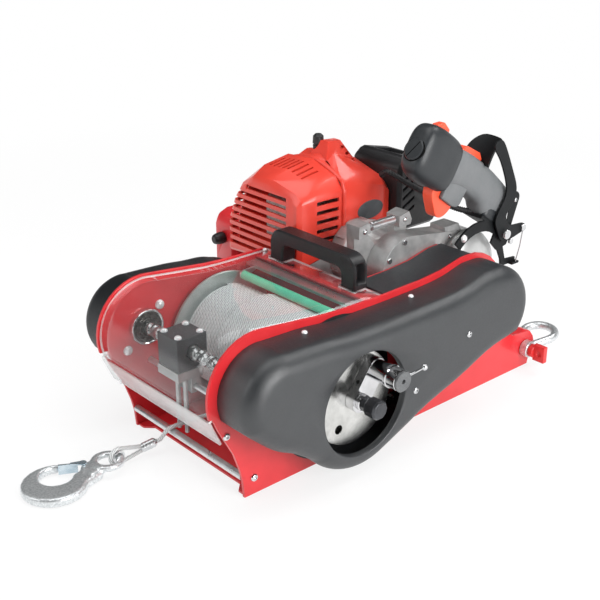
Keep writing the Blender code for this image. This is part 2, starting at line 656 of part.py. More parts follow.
def drive_disc():
    """The driven disc on its hub, with the big sprocket behind it and two holes for the plunger."""
    hub, foot = 19.0, 124.0
    near, far = DISC_X
    profile = [(foot, 0), (foot, hub), (near, hub), (near, DISC_R), (far, DISC_R), (far, 0)]
    plate = piece("drive_disc", turned(profile, DRUM, sides=28), "polished_steel", pivot=(0, *DRUM))
    boolean(plate, cutter("drive_disc_teeth", toothed(DRUM, 58, 53, 26, *TEETH_X)), 'UNION')
    holes = disc(DRUM, SHAFT_R + 0.35, foot - 4, far + 5, sides=16)
    opposite = (2 * DRUM[0] - ARM_TIP[0], 2 * DRUM[1] - ARM_TIP[1])
    for spot in (ARM_TIP, opposite):
        disc(spot, 6.0, near - 2, far + 2, sides=12, bm=holes)
    boolean(plate, cutter("drive_disc_holes", holes))


def clutch_arm():
    """Arm keyed to the drum shaft, with the bored post that guides the plunger."""
    heading = math.degrees(ARM_ANGLE)
    outline = arc(DRUM, 14.5, heading + 90, heading + 270, 8)
    outline += arc(ARM_TIP, 14.0, heading - 90, heading + 90, 8)
    arm = piece("clutch_arm", prism("x", outline, *ARM_X), "polished_steel", pivot=(0, *DRUM), smooth=50)
    boolean(arm, cutter("clutch_post", disc(ARM_TIP, 13.0, ARM_X[1] - 1, POST_END, sides=16)), 'UNION')
    bores = disc(DRUM, SHAFT_R + GAP, ARM_X[0] - 2, ARM_X[1] + 2, sides=16)
    disc(ARM_TIP, 5.1, ARM_X[0] - 2, POST_END + 6, sides=12, bm=bores)
    boolean(arm, cutter("clutch_bores", bores))


def plunger_knob():
    """Pull knob that pins the arm to the disc, with a thin ball-ended lever."""
    seat = POST_END + GAP
    profile = [(DISC_X[0] + 1, 0), (DISC_X[0] + 1, 4.7), (seat, 4.7), (seat, 13.5), (seat + 1.7, 14.5),
               (seat + 4.7, 14.5), (seat + 6.2, 11.8), (seat + 19.7, 11.8), (seat + 21.7, 10.0),
               (seat + 21.7, 0)]
    knob = piece("plunger_knob", turned(profile, ARM_TIP, sides=12), "black_plastic", pivot=(0, *ARM_TIP))
    root = np.array([seat + 13.7, ARM_TIP[0] + 6.0, ARM_TIP[1] - 1.0])
    ball = root + np.array([-6.0, 44.0, -2.0])
    lever = rod_along([root, (root + ball) / 2, ball], 1.6, 8)
    boolean(knob, cutter("plunger_lever", lever), 'UNION')
    end = bmesh.new()
    bmesh.ops.create_uvsphere(end, u_segments=8, v_segments=4, radius=4.0, matrix=Matrix.Translation(ball))
    boolean(knob, cutter("plunger_ball", end), 'UNION')


def centre_knob():
    """Hexagon nut on the shaft's end under a round cap."""
    hexagon = arc(DRUM, 9.5, 0, 300, 5)
    nut = piece("centre_knob", prism("x", hexagon, 168.3, 178), "black_plastic", pivot=(0, *DRUM))
    boolean(nut, cutter("centre_knob_top", disc(DRUM, 12.5, 177, 194, sides=16)), 'UNION')


# ---------------------------------------------------------------- engine
def clutch_housing():
    """Cast bell on the crank axis, with two lugs on top that hold the stay."""
    profile = [(-49.7, 0), (-49.7, 46), (-30, 48), (-14, 48), (-8, 42), (10, 40), (18, 40), (18, 0)]
    housing = piece("clutch_housing", turned(profile, CRANK, sides=18), "cast_aluminium", smooth=50)
    webs, heads = bmesh.new(), bmesh.new()
    prism("x", [(264, 198), (262, 248), (280, 250), (283, 236), (300, 214), (300, 180)], 4, 18, webs)
    prism("x", [(338, 214), (336, 246), (354, 250), (362, 238), (358, 200)], 4, 18, webs)
    prism("x", [(262, 231), (262, 248), (280, 250), (283, 236)], 12, 28, heads)
    prism("x", [(336.3, 231), (336, 246), (354, 250), (360, 238), (358, 231)], 12, 28, heads)
    boolean(housing, cutter("clutch_lugs", webs), 'UNION')
    boolean(housing, cutter("clutch_lug_heads", heads), 'UNION')


def stay_cylinder():
    """Small zinc cylinder between the two lugs, stepped at both ends."""
    pin, barrel = 3.0, 6.2
    profile = [(283.6, 0), (283.6, pin), (290, pin), (290, barrel), (332, barrel), (332, pin), (335.7, pin),
               (335.7, 0)]
    piece("stay_cylinder", turned(profile, (20, 241), axis="y", sides=10), "zinc")


def gearbox():
    """Reduction gear: a case from the crank to the gear axis, and its domed cover."""
    front = (330, 180)
    lean = math.degrees(math.atan2(DOME[1] - front[1], DOME[0] - front[0]))
    outline = arc(front, 45, lean + 90, lean + 270, 14) + arc(DOME, 50, lean - 90, lean + 90, 14)
    case = piece("gearbox", prism("x", outline, 18.3, 49.7), "cast_aluminium")
    ears = prism("x", [(404, 190), (404, 221), (432, 221), (440, 206)], 22, 49)
    boolean(case, cutter("gearbox_ears", ears), 'UNION')
    dome = [(50.0, 0), (50.0, 51.5), (57, 51.5), (65, 46), (71, 34), (73, 20), (73, 0)]
    piece("gearbox_cover", turned(dome, DOME, sides=20), "cast_aluminium", smooth=50)


PLUG = (-126.0, 331.0)            # spark plug's boot in plan
SHROUD_STATIONS = {               # y: belt, shoulder and ridge heights
    308.6: (270, 285, 301),
    334.0: (273, 289, 311),
    384.0: (262, 276, 290),
    402.0: (250, 262, 274),
}


def shroud_section(heights, near, far, low):
    belt, shoulder, ridge = heights
    return [(near, low), (near, belt), (near - 10, shoulder), (near - 60, ridge), (far + 16, ridge - 6),
            (far, belt + 12), (far, low)]


def engine_shroud():
    """The moulded cylinder cover: a shell open below and to the front, with a cowl for the plug."""
    near, far, floor = -50.0, -166.0, 187.0
    sections = [(shroud_section(h, near, far, floor), y) for y, h in SHROUD_STATIONS.items()]
    sections[-1] = (ring_offset(sections[-1][0], 4.0), sections[-1][1])
    shroud = piece("engine_shroud", loft(bmesh.new(), "y", sections), "orange_plastic", smooth=50)
    rounded(shroud, 3.0)
    foot = [(-144, 311), (-90, 311), (-92, 378), (-134, 378)]
    crest = [(-119, 328), (-103, 328), (-101, 349), (-114, 350)]
    boolean(shroud, cutter("plug_cowl", loft(bmesh.new(), "z", [(foot, 282), (crest, 322)])), 'UNION')
    inner = [(ring_offset(shroud_section(h, near, far, 170), 3.0), y) for y, h in SHROUD_STATIONS.items()]
    inner[0] = (inner[0][0], 300.0)
    inner[-1] = (ring_offset(inner[-1][0], 4.0), 398.5)
    boolean(shroud, cutter("engine_shroud_hollow", loft(bmesh.new(), "y", inner)))
    cuts = disc(PLUG, 8.6, 270, 335, axis="z", sides=20)
    for y, z in ((352, 312), (359, 302), (366, 292)):
        box((-106, y - 3, z - 2), (-85, y + 3, z + 2), cuts)
    boolean(shroud, cutter("engine_shroud_cuts", cuts))
    piece("plug_boot", turned([(288, 0), (288, 6), (312, 6), (316, 8), (327, 7), (329, 4), (329, 0)], PLUG,
                              axis="z", sides=10), "black_plastic")


GUARD_STATIONS = {                # y: near side, far side, shoulder, crown and sill
    235.0: (-63, -207, 258, 275, 172),
    240.0: (-57, -212, 264, 283, 170),
    262.0: (-52, -214, 269, 295, 177),
    308.3: (-50, -214, 272, 303, 187),
}


def guard_section(near, far, shoulder, crown, sill):
    """Section from the near lower edge over the crown to the far lower edge."""
    return [(near, sill), (near, shoulder), (near - 12, (shoulder + crown) / 2), (near - 60, crown),
            (far + 54, crown - 4), (far + 29, shoulder), (far + 14, 241), (far, 207), (far - 2, sill - 12)]


def muffler_guard():
    """The slotted hot-side cover: a tapering shell open to the rear."""
    sections = [(guard_section(*sizes), y) for y, sizes in GUARD_STATIONS.items()]
    guard = piece("muffler_guard", loft(bmesh.new(), "y", sections), "orange_plastic", smooth=50)
    rounded(guard, 3.0)
    inner = [(ring_offset(section, 2.6), y) for section, y in sections]
    inner = [(inner[0][0], 238.0), (inner[1][0], 243.0), inner[2], (inner[3][0], 312.0)]
    boolean(guard, cutter("muffler_guard_hollow", loft(bmesh.new(), "y", inner)))
    boolean(guard, cutter("muffler_guard_slots", guard_slots()))


def guard_slots():
    """Level slots in the front and the near side, and slots from front to rear in the top."""
    slots = bmesh.new()
    half = 2.8
    for k in range(9):
        z = 263.0 - 11.0 * k
        box((-230 if k else -168, 228, z - half), (-84, 257, z + half), slots)
    for k in range(5):
        z = 259.0 - 13.0 * k
        box((-66, 262, z - half), (-40, 300, z + half), slots)
    for k in range(8):
        x = -84.0 - 9.5 * k
        box((x - 1.8, 262, 280), (x + 1.8, 292, 320), slots)
    return slots


def silencer():
    can = piece("muffler", box((-152, 252, 190), (-84, 298, 256)), "dark_steel")
    rounded(can, 7.0)


def engine_block():
    """Finned cylinder on its crankcase, with the exhaust port that the silencer bolts to."""
    barrel, fin, thick, pitch = 24.0, 38.0, 5.0, 18.0
    fins = []
    for z in 200.0 + pitch * np.arange(4):
        fins += [(z, barrel), (z, fin), (z + thick, fin), (z + thick, barrel)]
    profile = [(180, 0), (180, barrel)] + fins + [(276, barrel), (280, 12), (280, 0)]
    block = piece("engine_block", turned(profile, (-108, 352), axis="z", sides=10), "cast_aluminium")
    boolean(block, cutter("crankcase", box((-162, 309, 120), (-50, 388, 186.5))), 'UNION')
    boolean(block, cutter("exhaust_port", box((-122, 298.3, 205), (-94, 330, 240))), 'UNION')


def recoil_starter():
    """Starter housing under its flywheel cover, and the pull handle at the rope's outlet."""
    low, high, outlet = -268.0, -217.0, (-243, 165)
    outline = [(250, 120), (400, 120), (400, 190), (386, 203), (264, 203), (250, 190)]
    starter = piece("starter_housing", prism("x", outline, low, high), "red_paint")
    rounded(starter, 8.0)
    profile = [(high - 3, 0), (high - 3, 52), (-200, 54.5), (-166.4, 54.5), (-166.4, 0)]
    boolean(starter, cutter("flywheel_cover", turned(profile, (364, 175.5), sides=24)), 'UNION')
    boolean(starter, cutter("rope_outlet", disc(outlet, 4.0, 236, 262, axis="y", sides=12)))
    seat, stem = 249.4, 3.6
    pull = [(232, 0), (232, 6), (238, 8), (246, 9), (seat, 9), (seat, stem), (258, stem), (258, 0)]
    piece("starter_handle", turned(pull, outlet, axis="y", sides=10), "black_plastic",
          pivot=(outlet[0], seat, outlet[1]))


def fuel_tank():
    tank = piece("fuel_tank", box((-210, 247, 62), (-60, 395, 119.7)), "grey_plastic")
    rounded(tank, 12.0)
    neck = turned([(-222, 0), (-222, 13), (-212, 14), (-205, 14), (-205, 0)], (300, 92))
    boolean(tank, cutter("fuel_cap", neck), 'UNION')


def air_filter():
    """Air filter box behind the cylinder, with slanted louvres and a recessed top."""
    outline = [(402.4, 190), (402.4, 286), (418, 298), (474, 286), (490, 262), (490, 206), (478, 190)]
    case = piece("air_filter", prism("x", outline, -132, -36), "black_plastic")
    rounded(case, 5.0)
    cuts = bmesh.new()
    for k in range(5):
        z = 268.0 - 13.0 * k
        prism("x", [(410, z - 6), (434, z + 6), (434, z + 10.5), (410, z - 1.5)], -46, -30, cuts)
    prism("x", [(424, 291), (460, 283), (462, 292), (426, 300)], -112, -62, cuts)
    boolean(case, cutter("air_filter_cuts", cuts))


# ---------------------------------------------------------------- controls
def grip(s, u):
    """A point of the tilted grip frame, s along it and u across it, as (y, z)."""
    c, d = math.cos(GRIP_TILT), math.sin(GRIP_TILT)
    return (c * s - d * u, d * s + c * u)


def grip_prism(outline, low, high, bm=None):
    return prism("x", [grip(*pair) for pair in outline], low, high, bm)


def grip_loft(sections, power=3.0, sides=12):
    """A swelling moulding along the grip from (s, low u, high u, half width) sections."""
    rows = []
    for s, low, high, half in sections:
        row = []
        for k in range(sides):
            a = 2 * math.pi * (k + 0.5) / sides
            c, d = math.cos(a), math.sin(a)
            x = GRIP_MID + half * math.copysign(abs(c) ** (2 / power), c)
            u = (low + high) / 2 + (high - low) / 2 * math.copysign(abs(d) ** (2 / power), d)
            row.append((x, *grip(s, u)))
        rows.append(row)
    return skin(bmesh.new(), rows)


JOINT_S = 161.0                   # where head and grip meet
TRIGGER_PIVOT = (143.0, 436.0)
LOCKOUT_PIVOT = (172.0, 496.0)
HEAD_SECTIONS = [(88, 452, 492, 12), (90, 444, 499, 16), (98, 436, 505, 19.5), (125, 431, 508, 21.5),
                 (148, 432, 506, 21), (JOINT_S, 436, 502, 19)]
GRIP_SECTIONS = [(JOINT_S + GAP, 445, 499, 18.5), (185, 450, 501, 18), (215, 451, 501, 17.5),
                 (240, 448, 499, 17.5), (256, 438, 497, 18), (284, 438, 492, 18), (300, 446, 486, 16),
                 (311, 462, 480, 10)]


def across(half):
    """The two X places at an equal distance from the grip's middle plane."""
    return GRIP_MID - half, GRIP_MID + half


def throttle_grip():
    """Head and grip mouldings with pockets for the trigger, the lockout and the stop switch."""
    head = piece("grip_head", grip_loft(HEAD_SECTIONS), "dark_plastic", smooth=60)
    body = piece("grip_body", grip_loft(GRIP_SECTIONS), "grey_plastic", smooth=60)
    near = JOINT_S + GAP
    cheeks = [(near, 428), (192, 426), (201, 432), (203, 458), (near, 458)]
    boolean(body, cutter("trigger_cheeks", grip_prism(cheeks, *across(15))), 'UNION')

    opening = [(131, 415), (131, 449), (190, 449), (190, 415)]
    pocket = cutter("trigger_pocket", grip_prism(opening, *across(9.5)))
    trunnion = cutter("trigger_trunnion", disc(grip(*TRIGGER_PIVOT), 2.3, *across(12.5), sides=12))
    slot = cutter("switch_slot", grip_prism([(104, 500), (104, 515), (144, 515), (144, 500)], *across(6)))
    for tool in (pocket, trunnion, slot):
        boolean(head, tool)
    opening = [(167, 486), (167, 515), (218, 515), (218, 486)]
    lock_pocket = cutter("lockout_pocket", grip_prism(opening, *across(8.5)))
    lock_trunnion = cutter("lockout_trunnion", disc(grip(*LOCKOUT_PIVOT), 1.9, *across(11.5), sides=12))
    for tool in (lock_pocket, lock_trunnion, pocket):
        boolean(body, tool)


def triggers():
    """Throttle trigger, its lockout on the grip's back, and the sliding stop switch."""
    outline = [(139, 440), (135, 424), (141, 408), (166, 405), (186, 414), (186, 427), (168, 434),
               (158, 440)]
    trigger = piece("throttle_trigger", grip_prism(outline, *across(8.5)), "orange_plastic",
                    pivot=(GRIP_MID, *grip(*TRIGGER_PIVOT)))
    rounded(trigger, 1.5)
    pin = disc(grip(*TRIGGER_PIVOT), 2.0, *across(12), sides=12)
    boolean(trigger, cutter("trigger_pin", pin), 'UNION')
    outline = [(168.5, 493), (168.5, 499), (178, 507), (206, 509), (214, 503), (214, 495)]
    lockout = piece("trigger_lockout", grip_prism(outline, *across(7.5)), "orange_plastic",
                    pivot=(GRIP_MID, *grip(*LOCKOUT_PIVOT)))
    pin = disc(grip(*LOCKOUT_PIVOT), 1.6, *across(11), sides=12)
    boolean(lockout, cutter("lockout_pin", pin), 'UNION')
    outline = [(108, 500.3), (108, 508), (118, 515), (132, 511), (134, 500.3)]
    piece("stop_switch", grip_prism(outline, *across(5.6)), "orange_plastic")


LEVER_PIVOT = (492.0, 200.0)
HOOD = (438.0, 318.0)             # centre of the lever's hood, (y, z)
HOOD_R, HOOD_T = 30.0, 2.6


def brake_lever():
    """Bent sheet lever: the near arm, the hood over the grip and its far side wall."""
    near, far = (80.3, 83.0), (34.5, 37.0)
    arm = [(484, 192), (476, 206), (468, 224), (482, 246), (490, 256), (487, 276), (472, 306), (458, 330),
           (466, 338), (478, 332), (500, 288), (510, 262), (508, 246), (492, 226), (500, 212), (534, 207),
           (536, 196), (500, 190)]
    lever = piece("brake_lever", prism("x", arm, *near), "black_steel", pivot=(sum(near) / 2, *LEVER_PIVOT))
    outer = arc(HOOD, HOOD_R, 30, 138, 8)
    hood = prism("x", outer + arc(HOOD, HOOD_R - HOOD_T, 138, 30, 8), far[0], near[1] - 0.1)
    boolean(lever, cutter("lever_hood", hood), 'UNION')
    wall = prism("x", outer + [(419, 322), (430, 309), (452, 306), (463, 318)], *far)
    boolean(lever, cutter("lever_wall", wall), 'UNION')
    holes = disc(LEVER_PIVOT, 3.3, near[0] - 2, near[1] + 3, sides=16)
    disc((530, 201), 1.6, near[0] - 2, near[1] + 3, sides=8, bm=holes)
    boolean(lever, cutter("lever_holes", holes))


def control_bracket():
    """Sheet strap round the gear cover, with the flange that carries the grip and the lever post."""
    band = arc(DOME, 69, 136, 30, 9) + arc(DOME, 54, 30, 136, 9)
    strap = piece("control_bracket", prism("x", band, *STRAP_X), "black_steel")
    flange = grip_prism([(252, 433), (252, 437.7), (290, 437.7), (290, 433)], 46, STRAP_X[1] - 0.1)
    boolean(strap, cutter("grip_flange", flange), 'UNION')
    inset = (STRAP_X[0] - 0.1, STRAP_X[1] - 0.2)
    lug = [(478, 206), (470, 190), (484, 176), (504, 180), (512, 192), (500, 212), (482, 214)]
    boolean(strap, cutter("lever_lug", prism("x", lug, *inset)), 'UNION')
    foot, shoulder, end = STRAP_X[0] + 1, 80.0, 84.5
    post = turned([(foot, 0), (foot, 5.5), (shoulder, 5.5), (shoulder, 3), (end, 3), (end, 0)], LEVER_PIVOT,
                  sides=16)
    boolean(strap, cutter("lever_post", post), 'UNION')
    arm = [(484, 180), (494, 160), (496, 149), (527, 149), (527, 156), (504, 158), (496, 182)]
    boolean(strap, cutter("cable_arm", prism("x", arm, *inset)), 'UNION')
    boolean(strap, cutter("cable_shelf", box((66, 512, 149), (84, 527, 152))), 'UNION')


def control_cables():
    """Throttle conduit from the air box to the grip, and the brake wire under its lever."""
    route = [(-35.2, 449, 260), (-27, 449, 260), (-18, 449.5, 257.5), (0, 451, 253), (30, 452, 246),
             (41, 452, 243.5)]
    piece("throttle_conduit", rod_along(smooth_route(route, 16.0), 4.0, 8), "black_plastic")
    wire = [(80.8, 530, 201), (83.8, 530, 201), (84.8, 529.7, 199.4), (84.4, 526, 175),
            (83.2, 520.5, 152.4)]
    piece("brake_wire", rod_along(wire, 0.9, 6), "zinc")


# ---------------------------------------------------------------- rope end, hook
FERRULE = (np.array([-38.0, -19.0, 16.0]), np.array([-43.5, -38.0, 10.6]))
HOOK_EYE = (-42.0, -87.0)
LOOP_MID = np.array([-43.0, -71.5, 13.2])
LATCH_PIVOT = (-55.0, -113.0)


def ferrule_heading():
    along = FERRULE[1] - FERRULE[0]
    return along / np.linalg.norm(along)


def rope_free():
    """The free rope from the drum between the guide pins, over the front and down to its ferrule."""
    along = ferrule_heading()
    start = np.array(drum_point(ROPE_X, UPPER_R, EXIT_ANGLE)) + exit_direction() * (ROPE_D + GAP)
    route = [start, start + exit_direction() * 12.0, (ROPE_X, 70, 29.7), (ROPE_X, 16, 33.4),
             (ROPE_X, 1, 34.0), (-29.5, -7.5, 31.0),
             FERRULE[0] - along * 9, FERRULE[0] - along * 4, FERRULE[0]]
    tube("rope_free", smooth_route(route, 9.0), ROPE_D, "wire_rope", 2)


def rope_eye():
    """Pressed ferrule with the rope's loop, and the thimble inside the loop."""
    along = ferrule_heading()
    first = FERRULE[0] + along * GAP
    places = [first, first + along * 2, FERRULE[1] - along * 2, FERRULE[1]]
    eye = piece("rope_eye", rod_along(places, [4.4, 6.2, 6.2, 4.8], 12), "zinc", smooth=50)
    apart = np.array([0.0, 0.0, 3.1])
    inside = FERRULE[1] - along * 4
    turns = np.radians(np.linspace(105, -105, 14))
    loop = [inside + apart, FERRULE[1] + apart]
    loop += [LOOP_MID + np.array([0.0, -10.4 * math.cos(a), 10.1 * math.sin(a)]) for a in turns]
    loop += [FERRULE[1] - apart, inside - apart]
    boolean(eye, cutter("rope_loop", rod_along(smooth_route(loop, 6.5), ROPE_D / 2, 6)), 'UNION')
    middle, half = tuple(LOOP_MID[1:]), 3.2
    band = arc(middle, 6.9, 65, 295, 14) + arc(middle, 5.9, 295, 65, 14)
    piece("thimble", prism("x", band, LOOP_MID[0] - half, LOOP_MID[0] + half), "zinc")


def hook():
    """Forged eye hook lying on its side: a flat bowl, a thick neck and a raised eye."""
    bowl, throat = (-46, -157), (-57, -149)
    outline = [(-57, -101), (-27, -101), (-25, -112)] + arc(bowl, 40, 52, -214, 15) + [(-75, -132)]
    outline += arc(throat, 20, 138, 420, 11) + [(-50, -118)]
    pivot = (*HOOK_EYE, 0.0)
    body = piece("hook", prism("z", outline, 0.3, 12.5), "zinc", pivot=pivot, smooth=50)
    rounded(body, 3.2, angle=50)
    boolean(body, cutter("hook_eye", disc(HOOK_EYE, 21, 9.4, 16.8, axis="z", sides=20)), 'UNION')
    neck = prism("z", [(-55, -100.5), (-29, -100.5), (-28, -116), (-50, -120), (-58, -113)], 3, 14.5)
    boolean(body, cutter("hook_neck", neck), 'UNION')
    boolean(body, cutter("hook_eye_hole", disc(HOOK_EYE, 12, 0, 20, axis="z", sides=16)))
    boolean(body, cutter("latch_pin_hole", disc(LATCH_PIVOT, 2.2, 8, 16, axis="z", sides=12)))


def hook_latch():
    """Pressed latch: a web across the throat and a plate on its pin."""
    web = prism("z", [(-58.6, -118.2), (-61.4, -119.8), (-71.8, -137.2), (-69.2, -138.8)], 2.5, 15.2)
    latch = piece("hook_latch", web, "zinc", pivot=(*LATCH_PIVOT, 0.0))
    plate = arc(LATCH_PIVOT, 4.6, -50, 190, 10) + [(-64, -125), (-61, -127)]
    boolean(latch, cutter("latch_plate", prism("z", plate, 14.8, 16.4)), 'UNION')
    boolean(latch, cutter("latch_pin", disc(LATCH_PIVOT, 1.9, 9, 16, axis="z", sides=12)), 'UNION')


def main():
    clear_scene()
    root = bpy.data.objects.new("winch", None)
    bpy.context.collection.objects.link(root)
    root.location = Vector((-ORIGIN[0], -ORIGIN[1], 0.0)) * MM
    sections = (side_plates, inner_plate, base_tray, gear_case_panel, clear_cover, tie_rods,
                carry_handle, shackle_bow, shackle_pin, side_covers, drum, rope_winding, drum_shaft,
                shaft_bearings, level_wind_screw, carriage, pressure_roller, chain_drive, clutch_arm,
                plunger_knob, centre_knob, clutch_housing, stay_cylinder, gearbox, engine_shroud,
                muffler_guard, silencer, engine_block, recoil_starter, fuel_tank, air_filter,
                throttle_grip, triggers, brake_lever, control_bracket, control_cables, rope_free,
                rope_eye, hook, hook_latch)
    for section in sections:
        section()


main()
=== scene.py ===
# %% [markdown]
# # A portable engine winch, dressed in Blender
#
# The real object is a rope winch that one person carries: a drum between two red steel plates, a
# two-stroke engine behind it, a chain drive under moulded covers, and a throttle grip. Its plain
# solids are already drawn and packed. This lesson loads them as a fixed frame, and adds what
# makes them look real: smooth mouldings, wound wire rope, screws, castings and their finishes.

# %% Load the frame
import math

import bmesh
import bpy
import numpy as np
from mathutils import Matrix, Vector


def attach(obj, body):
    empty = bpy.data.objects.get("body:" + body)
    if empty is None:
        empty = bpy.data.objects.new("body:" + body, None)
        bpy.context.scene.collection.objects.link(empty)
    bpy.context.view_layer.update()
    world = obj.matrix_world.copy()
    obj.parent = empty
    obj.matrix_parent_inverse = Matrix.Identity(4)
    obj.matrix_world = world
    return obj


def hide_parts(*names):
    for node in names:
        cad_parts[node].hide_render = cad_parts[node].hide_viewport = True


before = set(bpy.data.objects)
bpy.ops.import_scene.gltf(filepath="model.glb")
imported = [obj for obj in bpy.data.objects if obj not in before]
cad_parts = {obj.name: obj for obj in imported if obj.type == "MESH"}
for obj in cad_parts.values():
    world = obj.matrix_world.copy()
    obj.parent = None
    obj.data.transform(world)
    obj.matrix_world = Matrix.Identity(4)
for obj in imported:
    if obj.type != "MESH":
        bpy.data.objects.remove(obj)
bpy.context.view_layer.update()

# %% [markdown]
# The winch was drawn in millimetres in a frame of its own, with X measured from the middle
# between the plates and Y from the front foot. Blender works in metres about the middle of the
# machine. One function goes from the first to the second, so every size below reads as on the
# drawing.

# %% From the drawing to metres
DRAWING_MIDDLE = np.array([-31.0, 271.6, 0.0])
MM = 0.001


def metres(points):
    """Drawing millimetres to metres in the frame's own axes."""
    return (np.asarray(points, float) - DRAWING_MIDDLE) * MM


print("the drawing's zero lies at", metres((0, 0, 0)).round(4).tolist())

# %% [markdown]
# The photograph was taken with a longish lens from the front right, a little over a metre away
# and 23 degrees above the horizon. The camera's place was worked out from straight edges of
# the frame, whose real lengths are known from the drawing.

# %% Camera
IMAGE_SIDE = 600.0                # pixels
FOCAL_PIXELS = 1066.0
SENSOR = 36.0                     # mm
CAMERA_AT = (939.2, -645.2, 698.0)
CAMERA_DOWN, CAMERA_ROUND = 23.2, 48.5   # degrees

lens = bpy.data.cameras.new("camera")
lens.sensor_width = SENSOR
lens.lens = FOCAL_PIXELS / IMAGE_SIDE * SENSOR
lens.clip_start, lens.clip_end = 0.05, 50.0
camera = bpy.data.objects.new("camera", lens)
camera.location = metres(CAMERA_AT)
camera.rotation_euler = (math.radians(90 - CAMERA_DOWN), 0.0, math.radians(CAMERA_ROUND))
bpy.context.collection.objects.link(camera)
bpy.context.scene.camera = camera
bpy.context.scene.view_settings.view_transform = "Standard"
print("lens:", round(lens.lens, 2), "mm")

# %% [markdown]
# ## Node trees, written short
#
# A material is a small graph. These helpers make a node with its settings and links in one
# line, so that each finish further down reads as a recipe. Patterns use Object coordinates,
# which are in metres and travel with a piece when it moves.

# %% Node helpers
def tree_of(item):
    """The empty node tree of a material or a world."""
    item.use_nodes = True
    item.node_tree.nodes.clear()
    return item.node_tree


def node(tree, kind, inputs=None, **settings):
    """One shader node: settings are its properties, inputs its sockets' values or links."""
    made = tree.nodes.new("ShaderNode" + kind)
    for name, value in settings.items():
        setattr(made, name, value)
    for name, value in (inputs or {}).items():
        socket = made.inputs[name]
        if isinstance(value, bpy.types.NodeSocket):
            tree.links.new(value, socket)
        else:
            socket.default_value = value
    return made


def places(tree, centre=(0.0, 0.0, 0.0), stretch=(1.0, 1.0, 1.0)):
    """Object coordinates: as they are, or measured from a point of the drawing and stretched."""
    coordinates = node(tree, "TexCoord").outputs["Object"]
    if centre == (0.0, 0.0, 0.0) and stretch == (1.0, 1.0, 1.0):
        return coordinates
    moved = node(tree, "VectorMath", {0: coordinates, 1: tuple(metres(centre))},
                 operation="SUBTRACT")
    return node(tree, "Mapping", {"Vector": moved.outputs[0], "Scale": stretch}).outputs[0]


NOISE_FROM, NOISE_TO = 0.3, 0.7             # noise seldom leaves this span


def speckle(tree, where, scale, low, high):
    """Cloudy noise, spread between two values: its usual span is stretched to low and high."""
    cloud = node(tree, "TexNoise", {"Vector": where, "Scale": scale, "Detail": 3.0})
    return node(tree, "MapRange", {"Value": cloud.outputs[0], "From Min": NOISE_FROM,
                                   "From Max": NOISE_TO, "To Min": low, "To Max": high}).outputs[0]


def blend_of(tree, share, first, second):
    """A colour between two: the first times one less the share, plus the second times it."""
    mixed = node(tree, "Mix", data_type="RGBA")
    tree.links.new(share, mixed.inputs["Factor"])
    for socket, colour in zip((mixed.inputs[6], mixed.inputs[7]), (first, second)):
        if isinstance(colour, bpy.types.NodeSocket):
            tree.links.new(colour, socket)
        else:
            socket.default_value = (*colour, 1.0)
    return mixed.outputs[2]


def bumped(tree, height, depth, strength=1.0):
    """A normal from a height between 0 and 1, depth in metres."""
    return node(tree, "Bump", {"Height": height, "Distance": depth,
                               "Strength": strength}).outputs[0]


HELPERS = (tree_of, node, places, speckle, blend_of, bumped)
print("node helpers:", ", ".join(helper.__name__ for helper in HELPERS))


# %% [markdown]
# ## The studio
#
# The photograph is a packshot: white all round, light from large soft panels, and only a faint
# shadow. The floor shows itself to the camera partly as plain white light and partly as a lit
# surface, which keeps the shadow. Metal and glass see the same white floor, but a darker room
# above it, which gives the black parts their depth.

# %% Floor
FLOOR_SIZE, FLOOR_DROP = 30.0, -0.0004      # metres, a hair below the feet
FADE_FROM, FADE_TO = 0.5, 1.6               # metres from the middle
GLOW_NEAR, GLOW_FAR = 0.78, 1.0             # share of plain white


def sees_background(tree):
    """1 for camera, glossy and transmission rays, as the largest of the three, and 0 for light."""
    path = node(tree, "LightPath")
    both = node(tree, "Math", {0: path.outputs["Is Camera Ray"], 1: path.outputs["Is Glossy Ray"]},
                operation="MAXIMUM")
    return node(tree, "Math", {0: both.outputs[0], 1: path.outputs["Is Transmission Ray"]},
                operation="MAXIMUM").outputs[0]


def floor_finish():
    """A lit white surface and plain white light, mixed by the distance from the middle."""
    made = bpy.data.materials.new("white_floor")
    tree = tree_of(made)
    away = node(tree, "VectorMath", {0: places(tree)}, operation="LENGTH")
    glow = node(tree, "MapRange", {"Value": away.outputs["Value"], "From Min": FADE_FROM,
                                   "From Max": FADE_TO, "To Min": GLOW_NEAR, "To Max": GLOW_FAR})
    share = node(tree, "Math", {0: glow.outputs[0], 1: sees_background(tree)}, operation="MULTIPLY")
    lit = node(tree, "BsdfDiffuse", {"Color": (0.93, 0.93, 0.93, 1.0)})
    white = node(tree, "Emission", {"Color": (1.0, 1.0, 1.0, 1.0), "Strength": 1.0})
    mixed = node(tree, "MixShader", {0: share.outputs[0], 1: lit.outputs[0], 2: white.outputs[0]})
    node(tree, "OutputMaterial", {"Surface": mixed.outputs[0]})
    return made


floor_mesh = bpy.data.meshes.new("floor")
half = FLOOR_SIZE / 2
floor_mesh.from_pydata([(-half, -half, FLOOR_DROP), (half, -half, FLOOR_DROP),
                        (half, half, FLOOR_DROP), (-half, half, FLOOR_DROP)], [], [(0, 1, 2, 3)])
floor = bpy.data.objects.new("floor", floor_mesh)
floor_mesh.materials.append(floor_finish())
bpy.context.collection.objects.link(floor)
print("floor:", FLOOR_SIZE, "m wide")

# %% [markdown]
# The world gives even light from all round. What polished parts mirror is told apart with
# Light Path: a white band near the horizon, fading to a dim room overhead.

# %% World
DAYLIGHT = 0.62                             # even light on the object
BAND_FOOT, BAND_TOP = 0.02, 0.20            # where the band starts to fade, and where it ends
ROOM = 0.025                                # the dim room's brightness


